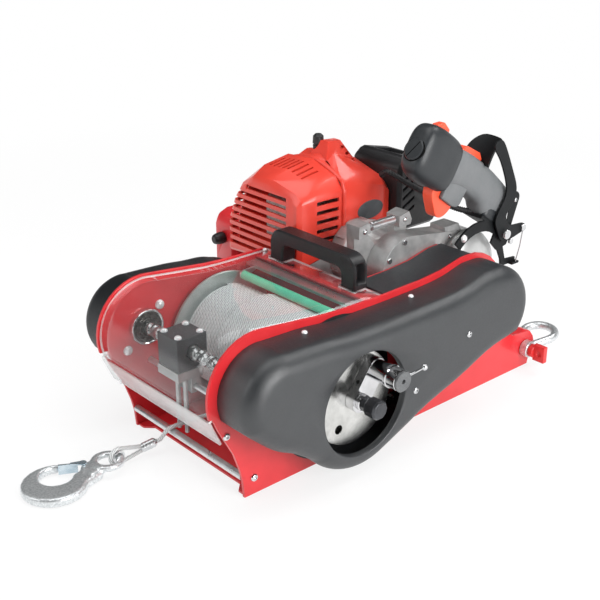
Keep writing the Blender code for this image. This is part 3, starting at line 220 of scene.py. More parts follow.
def studio_world():
    """White to the camera, even light on surfaces, and a band that fades upwards in mirrors."""
    world = bpy.data.worlds.new("studio")
    tree = tree_of(world)
    upward = node(tree, "SeparateXYZ", {0: node(tree, "TexCoord").outputs["Generated"]})
    room = node(tree, "MapRange", {"Value": upward.outputs["Z"], "From Min": BAND_FOOT,
                                   "From Max": BAND_TOP, "To Min": 1.0, "To Max": ROOM})
    path = node(tree, "LightPath")
    mirrored = node(tree, "Mix", {"Factor": path.outputs["Is Glossy Ray"], 2: DAYLIGHT,
                                  3: room.outputs[0]})
    straight = node(tree, "Math", {0: path.outputs["Is Camera Ray"],
                                   1: path.outputs["Is Transmission Ray"]}, operation="MAXIMUM")
    strength = node(tree, "Mix", {"Factor": straight.outputs[0], 2: mirrored.outputs[0], 3: 1.0})
    light = node(tree, "Background", {"Color": (1.0, 1.0, 1.0, 1.0),
                                      "Strength": strength.outputs[0]})
    node(tree, "OutputWorld", {"Surface": light.outputs[0]})
    bpy.context.scene.world = world


studio_world()
print("daylight:", DAYLIGHT)

# %% [markdown]
# Four soft panels finish the light: one overhead, one in front on the left, one on the drive
# side, and a small one behind that draws the bright ridges.

# %% Lamps
PANELS = {                                  # name: place and target in mm, size in m, watts
    "overhead": ((-100, 60, 1700), (0, 250, 100), 1.2, 10.0),
    "left_panel": ((-700, -1500, 1150), (0, 200, 100), 1.0, 8.0),
    "right_panel": ((1700, 300, 700), (0, 250, 120), 1.0, 26.0),
    "ridge_panel": ((400, 1160, 1350), (0, 200, 150), 0.6, 7.0),
}
for name, (spot, target, size, watts) in PANELS.items():
    panel = bpy.data.lights.new(name, "AREA")
    panel.shape, panel.size, panel.energy = "SQUARE", size, watts
    lamp = bpy.data.objects.new(name, panel)
    lamp.location = metres(spot)
    aim = Vector(metres(target)) - lamp.location
    lamp.rotation_euler = aim.to_track_quat("-Z", "Y").to_euler()
    bpy.context.collection.objects.link(lamp)
print("lamps:", len(PANELS))

# %% [markdown]
# ## Finishes
#
# Nearly everything on the winch is one of a dozen workshop finishes. Each recipe starts from a
# Principled shader and adds what the real surface shows: a cloud of slightly different colour,
# a gloss that varies, and a fine relief. The relief's scale matters most, because it tells
# moulded plastic from powder coat and a casting.

# %% General recipe
def finish(name, dark, light, rough, metal=0.0, cloud=40.0, grain=0.0, grain_depth=0.0, coat=0.0,
           ior=1.5, sheen_scale=300.0):
    """A surface whose colour drifts between two, with uneven gloss and an optional fine grain.

    cloud, grain and sheen_scale are noise scales, in waves to the metre, and grain_depth is in
    metres. The relief is a noise's height times that depth.
    """
    made = bpy.data.materials.new(name)
    tree = tree_of(made)
    where = places(tree)
    colour = blend_of(tree, speckle(tree, where, cloud, 0.0, 1.0), dark, light)
    shader = node(tree, "BsdfPrincipled", {"Base Color": colour, "Metallic": metal, "IOR": ior,
                                           "Coat Weight": coat, "Coat Roughness": 0.08,
                                           "Roughness": speckle(tree, where, sheen_scale, *rough)})
    if grain:
        height = node(tree, "TexNoise", {"Vector": where, "Scale": grain, "Detail": 2.0})
        tree.links.new(bumped(tree, height.outputs[0], grain_depth), shader.inputs["Normal"])
    node(tree, "OutputMaterial", {"Surface": shader.outputs[0]})
    return made


print("recipe:", finish.__doc__.splitlines()[0])

# %% [markdown]
# Paint and plastic keep their two colours close together, so that they look new. The coats are
# thin: powder coat has a soft sheen with a second, sharper one over it, and moulded covers have
# a grain that breaks each highlight into a mist.

# %% Paints and plastics
red_paint = finish("red_powder_coat", (0.60, 0.020, 0.026), (0.66, 0.026, 0.032), (0.29, 0.33),
                   coat=0.25, sheen_scale=40.0)
shackle_paint = finish("red_dipped_paint", (0.58, 0.028, 0.030), (0.70, 0.040, 0.038), (0.30, 0.45),
                       grain=350.0, grain_depth=0.00015)
orange_plastic = finish("orange_red_moulding", (0.68, 0.046, 0.028), (0.74, 0.056, 0.034),
                        (0.28, 0.33), coat=0.25, sheen_scale=40.0)
trigger_plastic = finish("orange_trigger", (0.86, 0.085, 0.035), (0.92, 0.10, 0.045),
                         (0.30, 0.40), grain=1500.0, grain_depth=0.00003)
cover_plastic = finish("grained_cover", (0.012, 0.014, 0.017), (0.016, 0.019, 0.022),
                       (0.40, 0.48), grain=1300.0, grain_depth=0.00020, ior=1.8)
# a darker copy of the cover's finish with weaker gloss, for the far cover: painted shade
far_cover_shaded_plastic = finish("grained_far_cover_shaded", (0.007, 0.009, 0.011), (0.010, 0.012, 0.014),
                           (0.42, 0.52), grain=1300.0, grain_depth=0.00018, ior=1.45)
black_plastic = finish("black_moulding", (0.010, 0.010, 0.011), (0.016, 0.016, 0.018),
                       (0.38, 0.50), grain=1800.0, grain_depth=0.00006)
# black for thin shapes that stand in gaps and holes: painted shade
gap_shade_black = finish("shadow_gap", (0.002, 0.002, 0.002), (0.004, 0.004, 0.004), (0.70, 0.85),
                   ior=1.2)
badge_grey = finish("badge_plate", (0.070, 0.078, 0.086), (0.085, 0.093, 0.100), (0.40, 0.50))
block_plastic = finish("guide_block_moulding", (0.040, 0.042, 0.045), (0.050, 0.052, 0.056),
                       (0.42, 0.52), grain=1500.0, grain_depth=0.00006)
head_plastic = finish("throttle_head_moulding", (0.020, 0.023, 0.026), (0.026, 0.029, 0.032),
                      (0.34, 0.42), grain=1800.0, grain_depth=0.00004)
grip_rubber = finish("grip_moulding", (0.13, 0.14, 0.145), (0.16, 0.165, 0.17), (0.50, 0.62),
                     grain=1600.0, grain_depth=0.00010)
tank_plastic = finish("tank_moulding", (0.30, 0.31, 0.31), (0.36, 0.37, 0.37), (0.35, 0.45),
                      grain=700.0, grain_depth=0.00005)
roller_plastic = finish("green_roller", (0.09, 0.56, 0.34), (0.13, 0.66, 0.42), (0.30, 0.42))
black_steel = finish("black_coated_steel", (0.006, 0.007, 0.008), (0.010, 0.011, 0.012),
                     (0.42, 0.48), ior=1.28)
print("plain finishes:", len(bpy.data.materials) - 1)

# %% [markdown]
# Metals need more contrast than paint does: zinc plate is cloudy, hot dipping leaves a coarse
# spangle, a casting is pitted and dull, and screws are nearly mirrors. Most are a little less
# than fully metallic here: some plain grey under the gloss stands in for dirt and fine scratches.

# %% Metals
zinc = finish("zinc_plate", (0.64, 0.66, 0.67), (0.78, 0.79, 0.80), (0.27, 0.31), metal=0.9,
              cloud=120.0, sheen_scale=60.0)
hot_zinc = finish("dipped_zinc", (0.56, 0.59, 0.60), (0.86, 0.88, 0.89), (0.28, 0.42), metal=0.75,
                  cloud=420.0, grain=160.0, grain_depth=0.00040)
latch_zinc = finish("blue_zinc_plate", (0.50, 0.62, 0.70), (0.70, 0.80, 0.86), (0.22, 0.30),
                    metal=0.8, cloud=90.0, sheen_scale=60.0)
# half metal over a near-white base: a painted reflection of a bright ceiling on the dome heads
dome_steel_painted_glint = finish("small_dome_screws_painted_glint", (0.80, 0.81, 0.82), (0.94, 0.94, 0.95), (0.20, 0.26),
                    metal=0.45)
screw_steel = finish("bright_screws", (0.66, 0.67, 0.68), (0.82, 0.82, 0.83), (0.14, 0.24),
                     metal=1.0)
polished_steel = finish("polished_steel", (0.60, 0.60, 0.61), (0.78, 0.78, 0.79), (0.08, 0.16),
                        metal=1.0)
dark_chrome = finish("dark_plated_steel", (0.035, 0.036, 0.040), (0.085, 0.088, 0.095),
                     (0.14, 0.26), metal=0.6)
screw_ground = finish("ground_screw_steel", (0.34, 0.34, 0.34), (0.50, 0.50, 0.50),
                      (0.24, 0.30), metal=0.9, cloud=180.0, sheen_scale=60.0)
grey_plated_steel = finish("grey_plated_steel", (0.13, 0.135, 0.14), (0.20, 0.205, 0.21),
                           (0.20, 0.28), metal=0.7)
chain_steel = finish("chain_steel", (0.30, 0.29, 0.28), (0.60, 0.59, 0.57), (0.18, 0.34), metal=1.0,
                     cloud=300.0)
oiled_steel = finish("oiled_steel", (0.10, 0.092, 0.085), (0.26, 0.24, 0.22), (0.24, 0.42),
                     metal=1.0, cloud=260.0, grain=700.0, grain_depth=0.00006)
# a lighter copy of the cast finish, for the dome and the bell: partly painted light
casting_painted_light = finish("casting_painted_light", (0.48, 0.49, 0.485), (0.58, 0.59, 0.585),
                        (0.32, 0.38), metal=0.55, cloud=70.0)
silencer_steel = finish("silencer_steel", (0.36, 0.34, 0.33), (0.60, 0.57, 0.54),
                        (0.26, 0.44), metal=0.8, cloud=45.0)
cast_aluminium = finish("cast_aluminium", (0.36, 0.365, 0.365), (0.50, 0.505, 0.50),
                        (0.32, 0.38), metal=0.55, cloud=70.0, grain=420.0, grain_depth=0.00010)
flange_steel = finish("drum_flange_steel", (0.50, 0.54, 0.52), (0.62, 0.66, 0.64),
                      (0.30, 0.42), metal=0.7, cloud=60.0)
print("finishes so far:", len(bpy.data.materials) - 1)


# %% [markdown]
# Facing a disc on a lathe leaves fine rings about its axis, which stretch each highlight. The
# rings are a wave of the distance from the axis, so they need no picture and never repeat.

# %% Turned steel
RING_DEPTH, RING_STRENGTH = 0.00002, 0.6    # metres, and a share


def turned_steel(name, dark, light, rough, pivot, pitch):
    """Steel with fine rings about an axis along X: the sine of the distance from that axis."""
    made = bpy.data.materials.new(name)
    tree = tree_of(made)
    where = places(tree, centre=(0.0, *pivot), stretch=(0.0, 1.0, 1.0))
    away = node(tree, "VectorMath", {0: where}, operation="LENGTH").outputs["Value"]
    ring = node(tree, "Math", {0: away, 1: 2 * math.pi / (pitch * MM)}, operation="MULTIPLY")
    wave = node(tree, "Math", {0: ring.outputs[0]}, operation="SINE")
    cloud = speckle(tree, places(tree), 55.0, 0.0, 1.0)
    shader = node(tree, "BsdfPrincipled", {
        "Base Color": blend_of(tree, cloud, dark, light), "Metallic": 1.0,
        "Roughness": speckle(tree, places(tree), 160.0, *rough)})
    tree.links.new(bumped(tree, wave.outputs[0], RING_DEPTH, RING_STRENGTH),
                   shader.inputs["Normal"])
    node(tree, "OutputMaterial", {"Surface": shader.outputs[0]})
    return made


DRUM = (138.0, 97.0)                        # axis, (y, z) in mm
RING_PITCH = 1.1                            # mm, coarser than a real cut so that it shows
disc_steel = turned_steel("faced_steel", (0.60, 0.60, 0.58), (0.78, 0.78, 0.76), (0.16, 0.26),
                          DRUM, RING_PITCH)
print("turned finish:", disc_steel.name)

# %% [markdown]
# Clear polycarbonate is seen more by what it mirrors than by what it tints. It is a thin wall,
# so a shader that lets light straight through with a share of gloss by angle is truer than a
# solid block of glass, and the rope below stays well lit. Only the side that faces the viewer
# is glossy: at the way out the angle formula would otherwise find a full mirror.

# %% Clear sheet
MILKINESS = 0.018                           # share of light that a used sheet scatters
CLEAR_TINT, CLEAR_IOR = (0.965, 0.975, 0.975, 1.0), 1.55


def clear_finish():
    """Straight-through light with a little milk, and gloss by the angle formula on the front."""
    made = bpy.data.materials.new("clear_sheet")
    tree = tree_of(made)
    haze = speckle(tree, places(tree), 25.0, 0.03, 0.07)
    gloss = node(tree, "BsdfPrincipled", {"Base Color": (0.90, 0.93, 0.94, 1.0), "Roughness": haze,
                                          "Metallic": 1.0})
    clear = node(tree, "BsdfTransparent", {"Color": CLEAR_TINT})
    milk = node(tree, "BsdfDiffuse", {"Color": (0.93, 0.95, 0.96, 1.0)})
    through = node(tree, "MixShader", {0: MILKINESS, 1: clear.outputs[0], 2: milk.outputs[0]})
    face = node(tree, "NewGeometry").outputs["Backfacing"]
    front = node(tree, "Math", {0: 1.0, 1: face}, operation="SUBTRACT")
    mirror = node(tree, "Fresnel", {"IOR": CLEAR_IOR})
    share = node(tree, "Math", {0: mirror.outputs[0], 1: front.outputs[0]}, operation="MULTIPLY")
    mixed = node(tree, "MixShader", {0: share.outputs[0], 1: through.outputs[0],
                                     2: gloss.outputs[0]})
    node(tree, "OutputMaterial", {"Surface": mixed.outputs[0]})
    return made


clear_sheet = clear_finish()
print("clear sheet's milkiness:", MILKINESS)

# %% [markdown]
# Wire rope is six strands laid round a core. The relief is modelled further down. Here the
# valleys between the strands are darkened to a dull grey, from an attribute that the mesh
# carries: painted shade in the creases. The crowns are near white with little metal, a bright
# galvanised skin that is partly painted light, to brighten the rope under the clear sheet.

# %% Rope finish
def rope_finish():
    """Near-white crowns, partly painted light, and painted shade in the valleys, by the mesh's
    attribute.
    """
    made = bpy.data.materials.new("galvanised_rope")
    tree = tree_of(made)
    valley = node(tree, "Attribute", attribute_name="valley").outputs["Fac"]
    cloud = speckle(tree, places(tree), 500.0, 0.0, 1.0)
    crown = blend_of(tree, cloud, (0.92, 0.95, 0.95), (0.98, 1.00, 1.00))
    # the valley's grey is painted shade, and the crown's near white is partly painted light
    colour = blend_of(tree, valley, crown, (0.34, 0.35, 0.35))
    shader = node(tree, "BsdfPrincipled", {
        "Base Color": colour, "Metallic": 0.05,
        "Roughness": speckle(tree, places(tree), 700.0, 0.34, 0.52)})
    node(tree, "OutputMaterial", {"Surface": shader.outputs[0]})
    return made


rope_zinc = rope_finish()
print("finishes so far:", len(bpy.data.materials) - 1)

# %% [markdown]
# ## Surfaces from arrays
#
# Every new shape is a grid of points worked out as whole arrays, row by row, and the faces are
# the squares between neighbours. A grid can wrap round either way, and its first and last rows
# can be closed with a cap each.

# %% Grids
def grid_faces(rows, columns, wrap_rows=False, wrap_columns=False):
    """The squares between neighbouring points of a grid, as index fours."""
    r = np.arange(rows if wrap_rows else rows - 1)
    c = np.arange(columns if wrap_columns else columns - 1)
    i, j = np.meshgrid(r, c, indexing="ij")
    k, m = (i + 1) % rows, (j + 1) % columns
    corners = [i * columns + j, i * columns + m, k * columns + m, k * columns + j]
    return np.stack(corners, axis=-1).reshape(-1, 4)


def surface(grid, wrap_rows=False, wrap_columns=False, ends=False):
    """A shape, (points, faces), from a grid of points. ends closes the first and last rows."""
    rows, columns = grid.shape[:2]
    faces = grid_faces(rows, columns, wrap_rows, wrap_columns).tolist()
    if ends:
        faces += [list(range(columns))[::-1], list(range((rows - 1) * columns, rows * columns))]
    return grid.reshape(-1, 3), faces


def joined(shapes):
    """Several shapes as one."""
    starts = np.cumsum([0] + [len(points) for points, _ in shapes[:-1]])
    faces = [[index + start for index in face]
             for (_, some), start in zip(shapes, starts.tolist()) for face in some]
    return np.concatenate([points for points, _ in shapes]), faces


print("a 3 by 4 grid that wraps one way:", len(grid_faces(3, 4, wrap_columns=True)), "faces")

# %% [markdown]
# A shape becomes a piece in one place. Merging the points that coincide closes poles and seams,
# one pass turns all faces outwards, and edges sharper than an angle stay crisp. Bevel then
# rounds them, because no real edge is perfectly sharp, and the small radius catches the light.

# %% Pieces
MERGE = 1e-6                                # metres between points that count as one
SHARP = 35.0                                # degrees between faces that meet in an edge


def settle(mesh, sharp=SHARP):
    """Close seams and poles, turn the faces outwards and smooth all but the sharp edges."""
    bm = bmesh.new()
    bm.from_mesh(mesh)
    bmesh.ops.remove_doubles(bm, verts=bm.verts, dist=MERGE)
    bmesh.ops.dissolve_degenerate(bm, edges=bm.edges, dist=MERGE)
    bmesh.ops.recalc_face_normals(bm, faces=bm.faces)
    bm.to_mesh(mesh)
    bm.free()
    mesh.shade_smooth()
    mesh.set_sharp_from_angle(angle=math.radians(sharp))


def bevelled(item, width, segments=2, angle=SHARP):
    """Round the sharp edges by a width in millimetres, as paint and moulds do."""
    edge = item.modifiers.new("edges", "BEVEL")
    edge.width, edge.segments = width * MM, segments
    edge.limit_method, edge.angle_limit = "ANGLE", math.radians(angle)
    edge.use_clamp_overlap, edge.harden_normals = True, True
    return item


def add_piece(name, shape, body, material, stands_for=(), sharp=SHARP):
    """Put a shape, drawn in millimetres, into the scene as a piece that rides on a body."""
    points, faces = shape
    mesh = bpy.data.meshes.new(name)
    mesh.from_pydata(metres(points).tolist(), [], faces)
    settle(mesh, sharp)
    mesh.materials.append(material)
    item = bpy.data.objects.new(name, mesh)
    bpy.context.collection.objects.link(item)
    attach(item, body)
    if stands_for:
        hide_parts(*stands_for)
    return item


print("an edge is sharp from", SHARP, "degrees")

# %% [markdown]
# Three ways of making a grid cover most parts: a profile turned about an axis, a round section
# carried along a path, and an outline pushed along an axis. Spin, Curve and Extrude would do the
# same by hand. As arrays, a shape's numbers are those of the drawing.

# %% Turned, swept and pushed shapes
AXES = {"x": (1, 2, 0), "y": (0, 2, 1), "z": (0, 1, 2)}


def along_axis(axis, first, second, third):
    """Points from their two coordinates in the plane across an axis and their place along it."""
    parts = np.broadcast_arrays(first, second, third)
    out = np.empty(parts[0].shape + (3,))
    for place, values in zip(AXES[axis], parts):
        out[..., place] = values
    return out


def turned(profile, centre, axis="x", sides=64):
    """A profile of (along, radius) turned about an axis: the radius times the cosine and sine."""
    along, radius = np.array(profile, float).T[:, :, None]
    angle = np.linspace(0, 2 * math.pi, sides, endpoint=False)[None, :]
    grid = along_axis(axis, centre[0] + radius * np.cos(angle),
                      centre[1] + radius * np.sin(angle), along)
    return surface(grid, wrap_rows=profile[0][1] > 0, wrap_columns=True)


def directions(path):
    """Unit vectors along a path: the difference of its neighbours over its length."""
    ahead = np.gradient(path, axis=0)
    return ahead / np.linalg.norm(ahead, axis=1)[:, None]


def across(path, normal):
    """Two unit vectors square to each step of a path, the first also square to the normal."""
    ahead = directions(path)
    side = np.cross(ahead, normal)
    side /= np.linalg.norm(side, axis=1)[:, None]
    return side, np.cross(side, ahead)


def swept(path, radius, sides=16, normal=(0.0, 0.0, 1.0), squash=1.0):
    """A round section along a path: the point, plus cosine and sine times the vectors across."""
    path = np.asarray(path, float)
    side, up = across(path, normal)
    angle = np.linspace(0, 2 * math.pi, sides, endpoint=False)[None, :, None]
    size = np.broadcast_to(radius, len(path))[:, None, None]
    ring = np.cos(angle) * side[:, None] + squash * np.sin(angle) * up[:, None]
    return surface(path[:, None] + size * ring, wrap_columns=True, ends=True)


def pushed(outline, axis, low, high):
    """An outline as two caps and the wall between them."""
    outline = np.array(outline, float)
    grid = np.stack([along_axis(axis, outline[:, 0], outline[:, 1], np.full(len(outline), place))
                     for place in (low, high)])
    return surface(grid, wrap_columns=True, ends=True)


washer = turned([(0, 3), (0, 6), (1, 6), (1, 3)], (0, 0), sides=12)
print("a washer of 12 sides:", len(washer[0]), "points,", len(washer[1]), "faces")

# %% [markdown]
# Outlines and paths are drawn with few points. A Catmull-Rom curve passes through all of them
# without a corner, and it is then cut into equal steps so that the faces are even.

# %% Arcs and flowing curves
CURVE_STEPS = 32                            # fine steps between two given points


def arc(centre, radius, start, end, steps):
    """Points along an arc, angles in degrees."""
    angle = np.radians(np.linspace(start, end, steps + 1))
    return np.stack([centre[0] + radius * np.cos(angle),
                     centre[1] + radius * np.sin(angle)], axis=1)


def flowing(points, count, closed=False):
    """Evenly spaced points on a Catmull-Rom curve through the given ones."""
    points = np.array(points, float)
    if closed:
        route = np.concatenate([points[-1:], points, points[:2]])
    else:
        before, after = 2 * points[:1] - points[1:2], 2 * points[-1:] - points[-2:-1]
        route = np.concatenate([before, points, after])
    t = np.linspace(0, 1, CURVE_STEPS, endpoint=False)[:, None, None]
    a, b, c, d = route[:-3], route[1:-2], route[2:-1], route[3:]
    fine = 0.5 * (2 * b + (c - a) * t + (2 * a - 5 * b + 4 * c - d) * t ** 2
                  + (3 * b - a - 3 * c + d) * t ** 3)
    fine = np.concatenate([fine.transpose(1, 0, 2).reshape(-1, points.shape[1]), route[-2:-1]])
    reach = np.concatenate([[0], np.cumsum(np.linalg.norm(np.diff(fine, axis=0), axis=1))])
    marks = np.linspace(0, reach[-1], count, endpoint=not closed)
    return np.stack([np.interp(marks, reach, column) for column in fine.T], axis=1)


print("a quarter circle in 6 steps:", len(arc((0, 0), 10, 0, 90, 6)), "points")

# %% [markdown]
# A moulding's rounded edge follows its outline at ever greater distances. Scaling the outline
# would make the radius wide at the ends and narrow in the middle, so true distances are
# measured instead.

# %% Rings inside an outline
RAY_SAMPLES, BATCHES = 220, 24              # batches keep the arrays small


def inner_rings(outline, centre, distances):
    """Rings that lie a distance inside an outline, one for each distance.

    Each outline point is joined to the centre by a ray. Along it the distance to the nearest
    outline point is measured, and the ring's point is the last one at least that far away.
    """
    centre = np.array(centre, float)
    spokes = outline - centre
    share = np.linspace(0, 1, RAY_SAMPLES)
    away = []
    for some in np.array_split(spokes, BATCHES):
        spots = centre + some[:, None] * share[None, :, None]
        gaps = np.linalg.norm(spots[:, :, None] - outline[None, None], axis=3)
        away.append(gaps.min(axis=2))
    away = np.concatenate(away)
    rows = np.arange(len(outline))
    rings = []
    for distance in distances:
        last = RAY_SAMPLES - 1 - np.argmax((away >= distance)[:, ::-1], axis=1)
        last = np.minimum(last, RAY_SAMPLES - 2)
        near, far = away[rows, last], away[rows, last + 1]
        part = np.clip((near - distance) / np.maximum(near - far, 1e-9), 0, 1)
        place = share[last] + part / (RAY_SAMPLES - 1)
        rings.append(centre + spokes * np.where(distance > 0, place, 1.0)[:, None])
    return rings


trial = inner_rings(arc((0, 0), 10, 0, 350, 35), (0, 0), [3])[0]
print("3 mm inside a circle of 10 mm:", round(float(np.linalg.norm(trial[0])), 2), "mm")

# %% [markdown]
# Sheet steel, brackets and boxes already have the right shape as solids. What they lack is the
# small radius that every real edge has, and that catches the light. A copy of the solid is
# welded, its flat faces are made whole again, and a bevel rounds its edges.

# %% Softened copies of solids
WELD, FLAT = 2e-5, 0.6                      # metres, and degrees that still count as one face


def softened(name, body, material, width=0.5, segments=2, angle=SHARP):
    """A copy of a solid with rounded edges, which stands for it."""
    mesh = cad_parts[name].data.copy()
    mesh.name = name + "_soft"
    bm = bmesh.new()
    bm.from_mesh(mesh)
    bmesh.ops.remove_doubles(bm, verts=bm.verts, dist=WELD)
    bmesh.ops.dissolve_limit(bm, angle_limit=math.radians(FLAT), verts=bm.verts, edges=bm.edges)
    bm.to_mesh(mesh)
    bm.free()
    mesh.materials.clear()
    mesh.materials.append(material)
    mesh.shade_smooth()
    mesh.set_sharp_from_angle(angle=math.radians(SHARP))
    item = bpy.data.objects.new(name + "_soft", mesh)
    bpy.context.collection.objects.link(item)
    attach(item, body)
    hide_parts(name)
    if width:
        bevelled(item, width, segments, angle)
    return item


SOFTENED = {                                # solid: body, finish, edge radius in mm, steps
    "side_plate_right": ("frame", red_paint, 0.8, 3),
    "side_plate_left": ("frame", red_paint, 0.8, 3),
    "inner_plate": ("frame", red_paint, 0.7, 2),
    "base_tray": ("frame", red_paint, 0.6, 2),
    "gear_case_panel": ("frame", cover_plastic, 0.6, 2),
    "carry_handle": ("frame", black_plastic, 0.0, 1),
    "pressure_rail": ("frame", zinc, 0.3, 1),
    "guide_block": ("carriage", block_plastic, 1.0, 3),
    "guide_plate": ("carriage", cast_aluminium, 0.4, 2),
    "trigger_lockout": ("lockout", trigger_plastic, 1.2, 3),
    "stop_switch": ("switch", trigger_plastic, 1.2, 3),
    "control_bracket": ("frame", black_steel, 0.5, 2),
    "starter_housing": ("frame", red_paint, 0.6, 2),
    "fuel_tank": ("frame", tank_plastic, 0.6, 2),
    "air_filter": ("frame", black_plastic, 0.6, 2),
    "engine_shroud": ("frame", orange_plastic, 0.6, 2),
    "muffler_guard": ("frame", orange_plastic, 0.6, 2),
    "muffler": ("frame", silencer_steel, 0.6, 2),
}
for name, (body, material, width, segments) in SOFTENED.items():
    softened(name, body, material, width, segments)
print("softened solids:", len(SOFTENED))

# %% [markdown]
# A few solids keep their own mesh and only take a finish: those that are mostly hidden, the
# brake wire, which is already a plain round bar, and the hook with its latch, which get their
# rounding from modifiers near the end of this lesson.

# %% Solids that keep their mesh
KEPT = {
    "rope_core": rope_zinc, "engine_block": cast_aluminium, "timing_chain": oiled_steel,
    "brake_wire": zinc, "drum_bearing_left": oiled_steel, "drum_bearing_right": oiled_steel,
    "drive_sprocket": oiled_steel, "hook": hot_zinc, "hook_latch": latch_zinc,
}
for name, material in KEPT.items():
    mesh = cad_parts[name].data
    mesh.materials.clear()
    mesh.materials.append(material)
print("solids that keep their mesh:", len(KEPT))

# %% [markdown]
# ## The drive cover
#
# The drive side's cover is one moulding with a belt-shaped outline, a softly rounded outer
# edge and a round opening for the clutch. Seen from the drum's axis each direction meets the
# outline once, so one grid covers it all: its columns go round, and its rows run from the
# opening's lip over the face, round the edge, down the wall and back up inside.

# %% Drive cover
COVER_FOOT, COVER_OUT = 113.8, 172.0        # mm from the middle of the machine
COVER_WALL, COVER_EDGE = 3.0, 22.0          # wall, and the outer edge's radius
OPENING_R, LIP_DEPTH = 66.0, 9.0
ROUND_COUNT, EDGE_STEPS = 360, 14


def belt_outline():
    """The drive cover's outline, as on the drawing."""
    return np.concatenate([
        arc((21, 137), 56.5, 205, 82, 24),
        [(84, 191), (119, 187.5), (152, 186), (220, 185.5), (290, 187), (328, 190.5), (362, 198)],
        arc((386, 140), 58.5, 92, -48, 24), [(371, 87), (313, 66), (254, 48), (213, 31)],
        arc((138, 97), 89, -68, -142, 16), [(54, 52), (36, 64), (10, 78), (-14, 98)]])


def edge_rows(outline, centre, low, high, edge, steps):
    """Rows of a rounded edge: in by the radius less its cosine, up by the radius's sine."""
    inward = math.copysign(1.0, high - low)
    angle = np.linspace(math.pi / 2, 0, steps)
    rings = inner_rings(outline, centre, edge * (1 - np.cos(angle)))
    return [(ring, high - inward * edge * (1 - math.sin(a))) for ring, a in zip(rings, angle)]


def stacked(rows):
    """A grid from (outline, place along X) rows."""
    return np.stack([along_axis("x", o[:, 0], o[:, 1], np.full(len(o), x)) for o, x in rows])


def drive_cover():
    """The lip's, face's, edge's and wall's rows in turn, wrapped into one closed shell."""
    outline = flowing(belt_outline(), ROUND_COUNT, closed=True)
    edge = edge_rows(outline, DRUM, COVER_FOOT, COVER_OUT, COVER_EDGE, EDGE_STEPS)
    face = edge[0][0]
    angle = np.arctan2(face[:, 1] - DRUM[1], face[:, 0] - DRUM[0])
    ring = np.stack([np.cos(angle), np.sin(angle)], axis=1)
    outer_r, lip_end = OPENING_R + COVER_WALL, COVER_OUT - LIP_DEPTH
    lip = [(DRUM + ring * r, x) for r, x in (
        (outer_r, COVER_OUT - COVER_WALL), (outer_r, lip_end), (OPENING_R, lip_end),
        (OPENING_R, COVER_OUT - 1.0), (OPENING_R + 1.0, COVER_OUT))]
    spread = [(DRUM + ring * (OPENING_R + 1.0) * (1 - t) + (face - DRUM) * t, COVER_OUT)
              for t in (0.3, 0.65, 0.9)]
    thin, deep = inner_rings(outline, DRUM, (COVER_WALL, COVER_EDGE))
    wall = [(outline, COVER_FOOT), (thin, COVER_FOOT), (thin, COVER_OUT - COVER_EDGE),
            (deep, COVER_OUT - COVER_WALL)]
    shape = surface(stacked(lip + spread + edge + wall), wrap_rows=True, wrap_columns=True)
    return add_piece("drive_cover_moulding", shape, "frame", cover_plastic, ["right_cover"],
                     sharp=50)


print("drive cover:", len(drive_cover().data.polygons), "faces")

# %% [markdown]
# The far side's cover is the same kind of moulding without an opening, so its face closes to
# a point in the middle. Its finish is a darker copy of the cover's, with weaker gloss: painted
# shade for the side that is turned from the light.

# %% Far cover
def far_cover():
    """Face, rounded edge, outer wall, inner wall and inner face as rows from pole to pole."""
    outline = np.concatenate([
        arc((21, 137), 56.5, 215, 82, 26), [(84, 191), (119, 187.5), (146, 185.5)],
        arc((146, 107), 76, 78, -84, 28), [(112, 31), (66, 48), (20, 72), (-8, 88)]])
    outline = flowing(outline, 280, closed=True)
    foot, out, edge = -COVER_FOOT, -COVER_OUT, 20.0
    middle = np.array([90.0, 120.0])
    outer = edge_rows(outline, middle, foot, out, edge, 12)
    thin, deep = inner_rings(outline, middle, (COVER_WALL, edge))
    face = [(middle + (outer[0][0] - middle) * t, out) for t in (0.0, 0.4, 0.8)]
    inside = [(thin, foot), (thin, out + edge), (deep, out + COVER_WALL)]
    back = [(middle + (deep - middle) * t, out + COVER_WALL) for t in (0.7, 0.0)]
    shape = surface(stacked(face + outer + [(outline, foot)] + inside + back), wrap_columns=True)
    return add_piece("far_cover_moulding", shape, "frame", far_cover_shaded_plastic, ["left_cover"],
                     sharp=50)


print("far cover:", len(far_cover().data.polygons), "faces")

# %% [markdown]
# ## Rope
#
# The drum carries two visible layers: the lower one shows on the left, and the upper one ends
# where the rope leaves for the guide pins. Turns lie about a rope's width apart. The section has six
# strands, and it turns once for each lay length along the rope, so the strands run slantwise
# as on the real rope.

# %% Rope winding
ROPE_D, ROPE_X = 5.6, -27.5                 # thickness, and where the rope leaves, in mm
LOWER_R, UPPER_R = 65.66, 71.96             # the two layers' centre lines
LAY_LENGTH, STRANDS, VALLEY_DEPTH = 36.0, 6, 0.17
EXIT_ANGLE = math.radians(-94.0)            # where on the drum the rope leaves
PAY_OUT = np.array([0.0, math.sin(EXIT_ANGLE), -math.cos(EXIT_ANGLE)])   # and which way
RING_STEP = 3.4                             # mm between rings along the rope


def stranded(path, normal):
    """A rope along a path, and which of its points lie in a valley.

    Each ring has a crown and a valley for each strand. A valley's radius is smaller by its
    depth, and the ring's angle grows by a full turn for each lay length along the path.
    """
    reach = np.concatenate([[0], np.cumsum(np.linalg.norm(np.diff(path, axis=0), axis=1))])
    side, up = across(path, normal)
    k = np.arange(2 * STRANDS)
    lay_turn = (2 * math.pi * reach / LAY_LENGTH)[:, None, None]
    angle = (math.pi * k / STRANDS)[None, :, None] + lay_turn
    size = ROPE_D / 2 * (1 - VALLEY_DEPTH * (k % 2))[None, :, None]
    grid = path[:, None] + size * (np.cos(angle) * side[:, None] + np.sin(angle) * up[:, None])
    valley = np.broadcast_to((k % 2).astype(np.float32), (len(path), len(k))).ravel()
    return surface(grid, wrap_columns=True, ends=True), valley


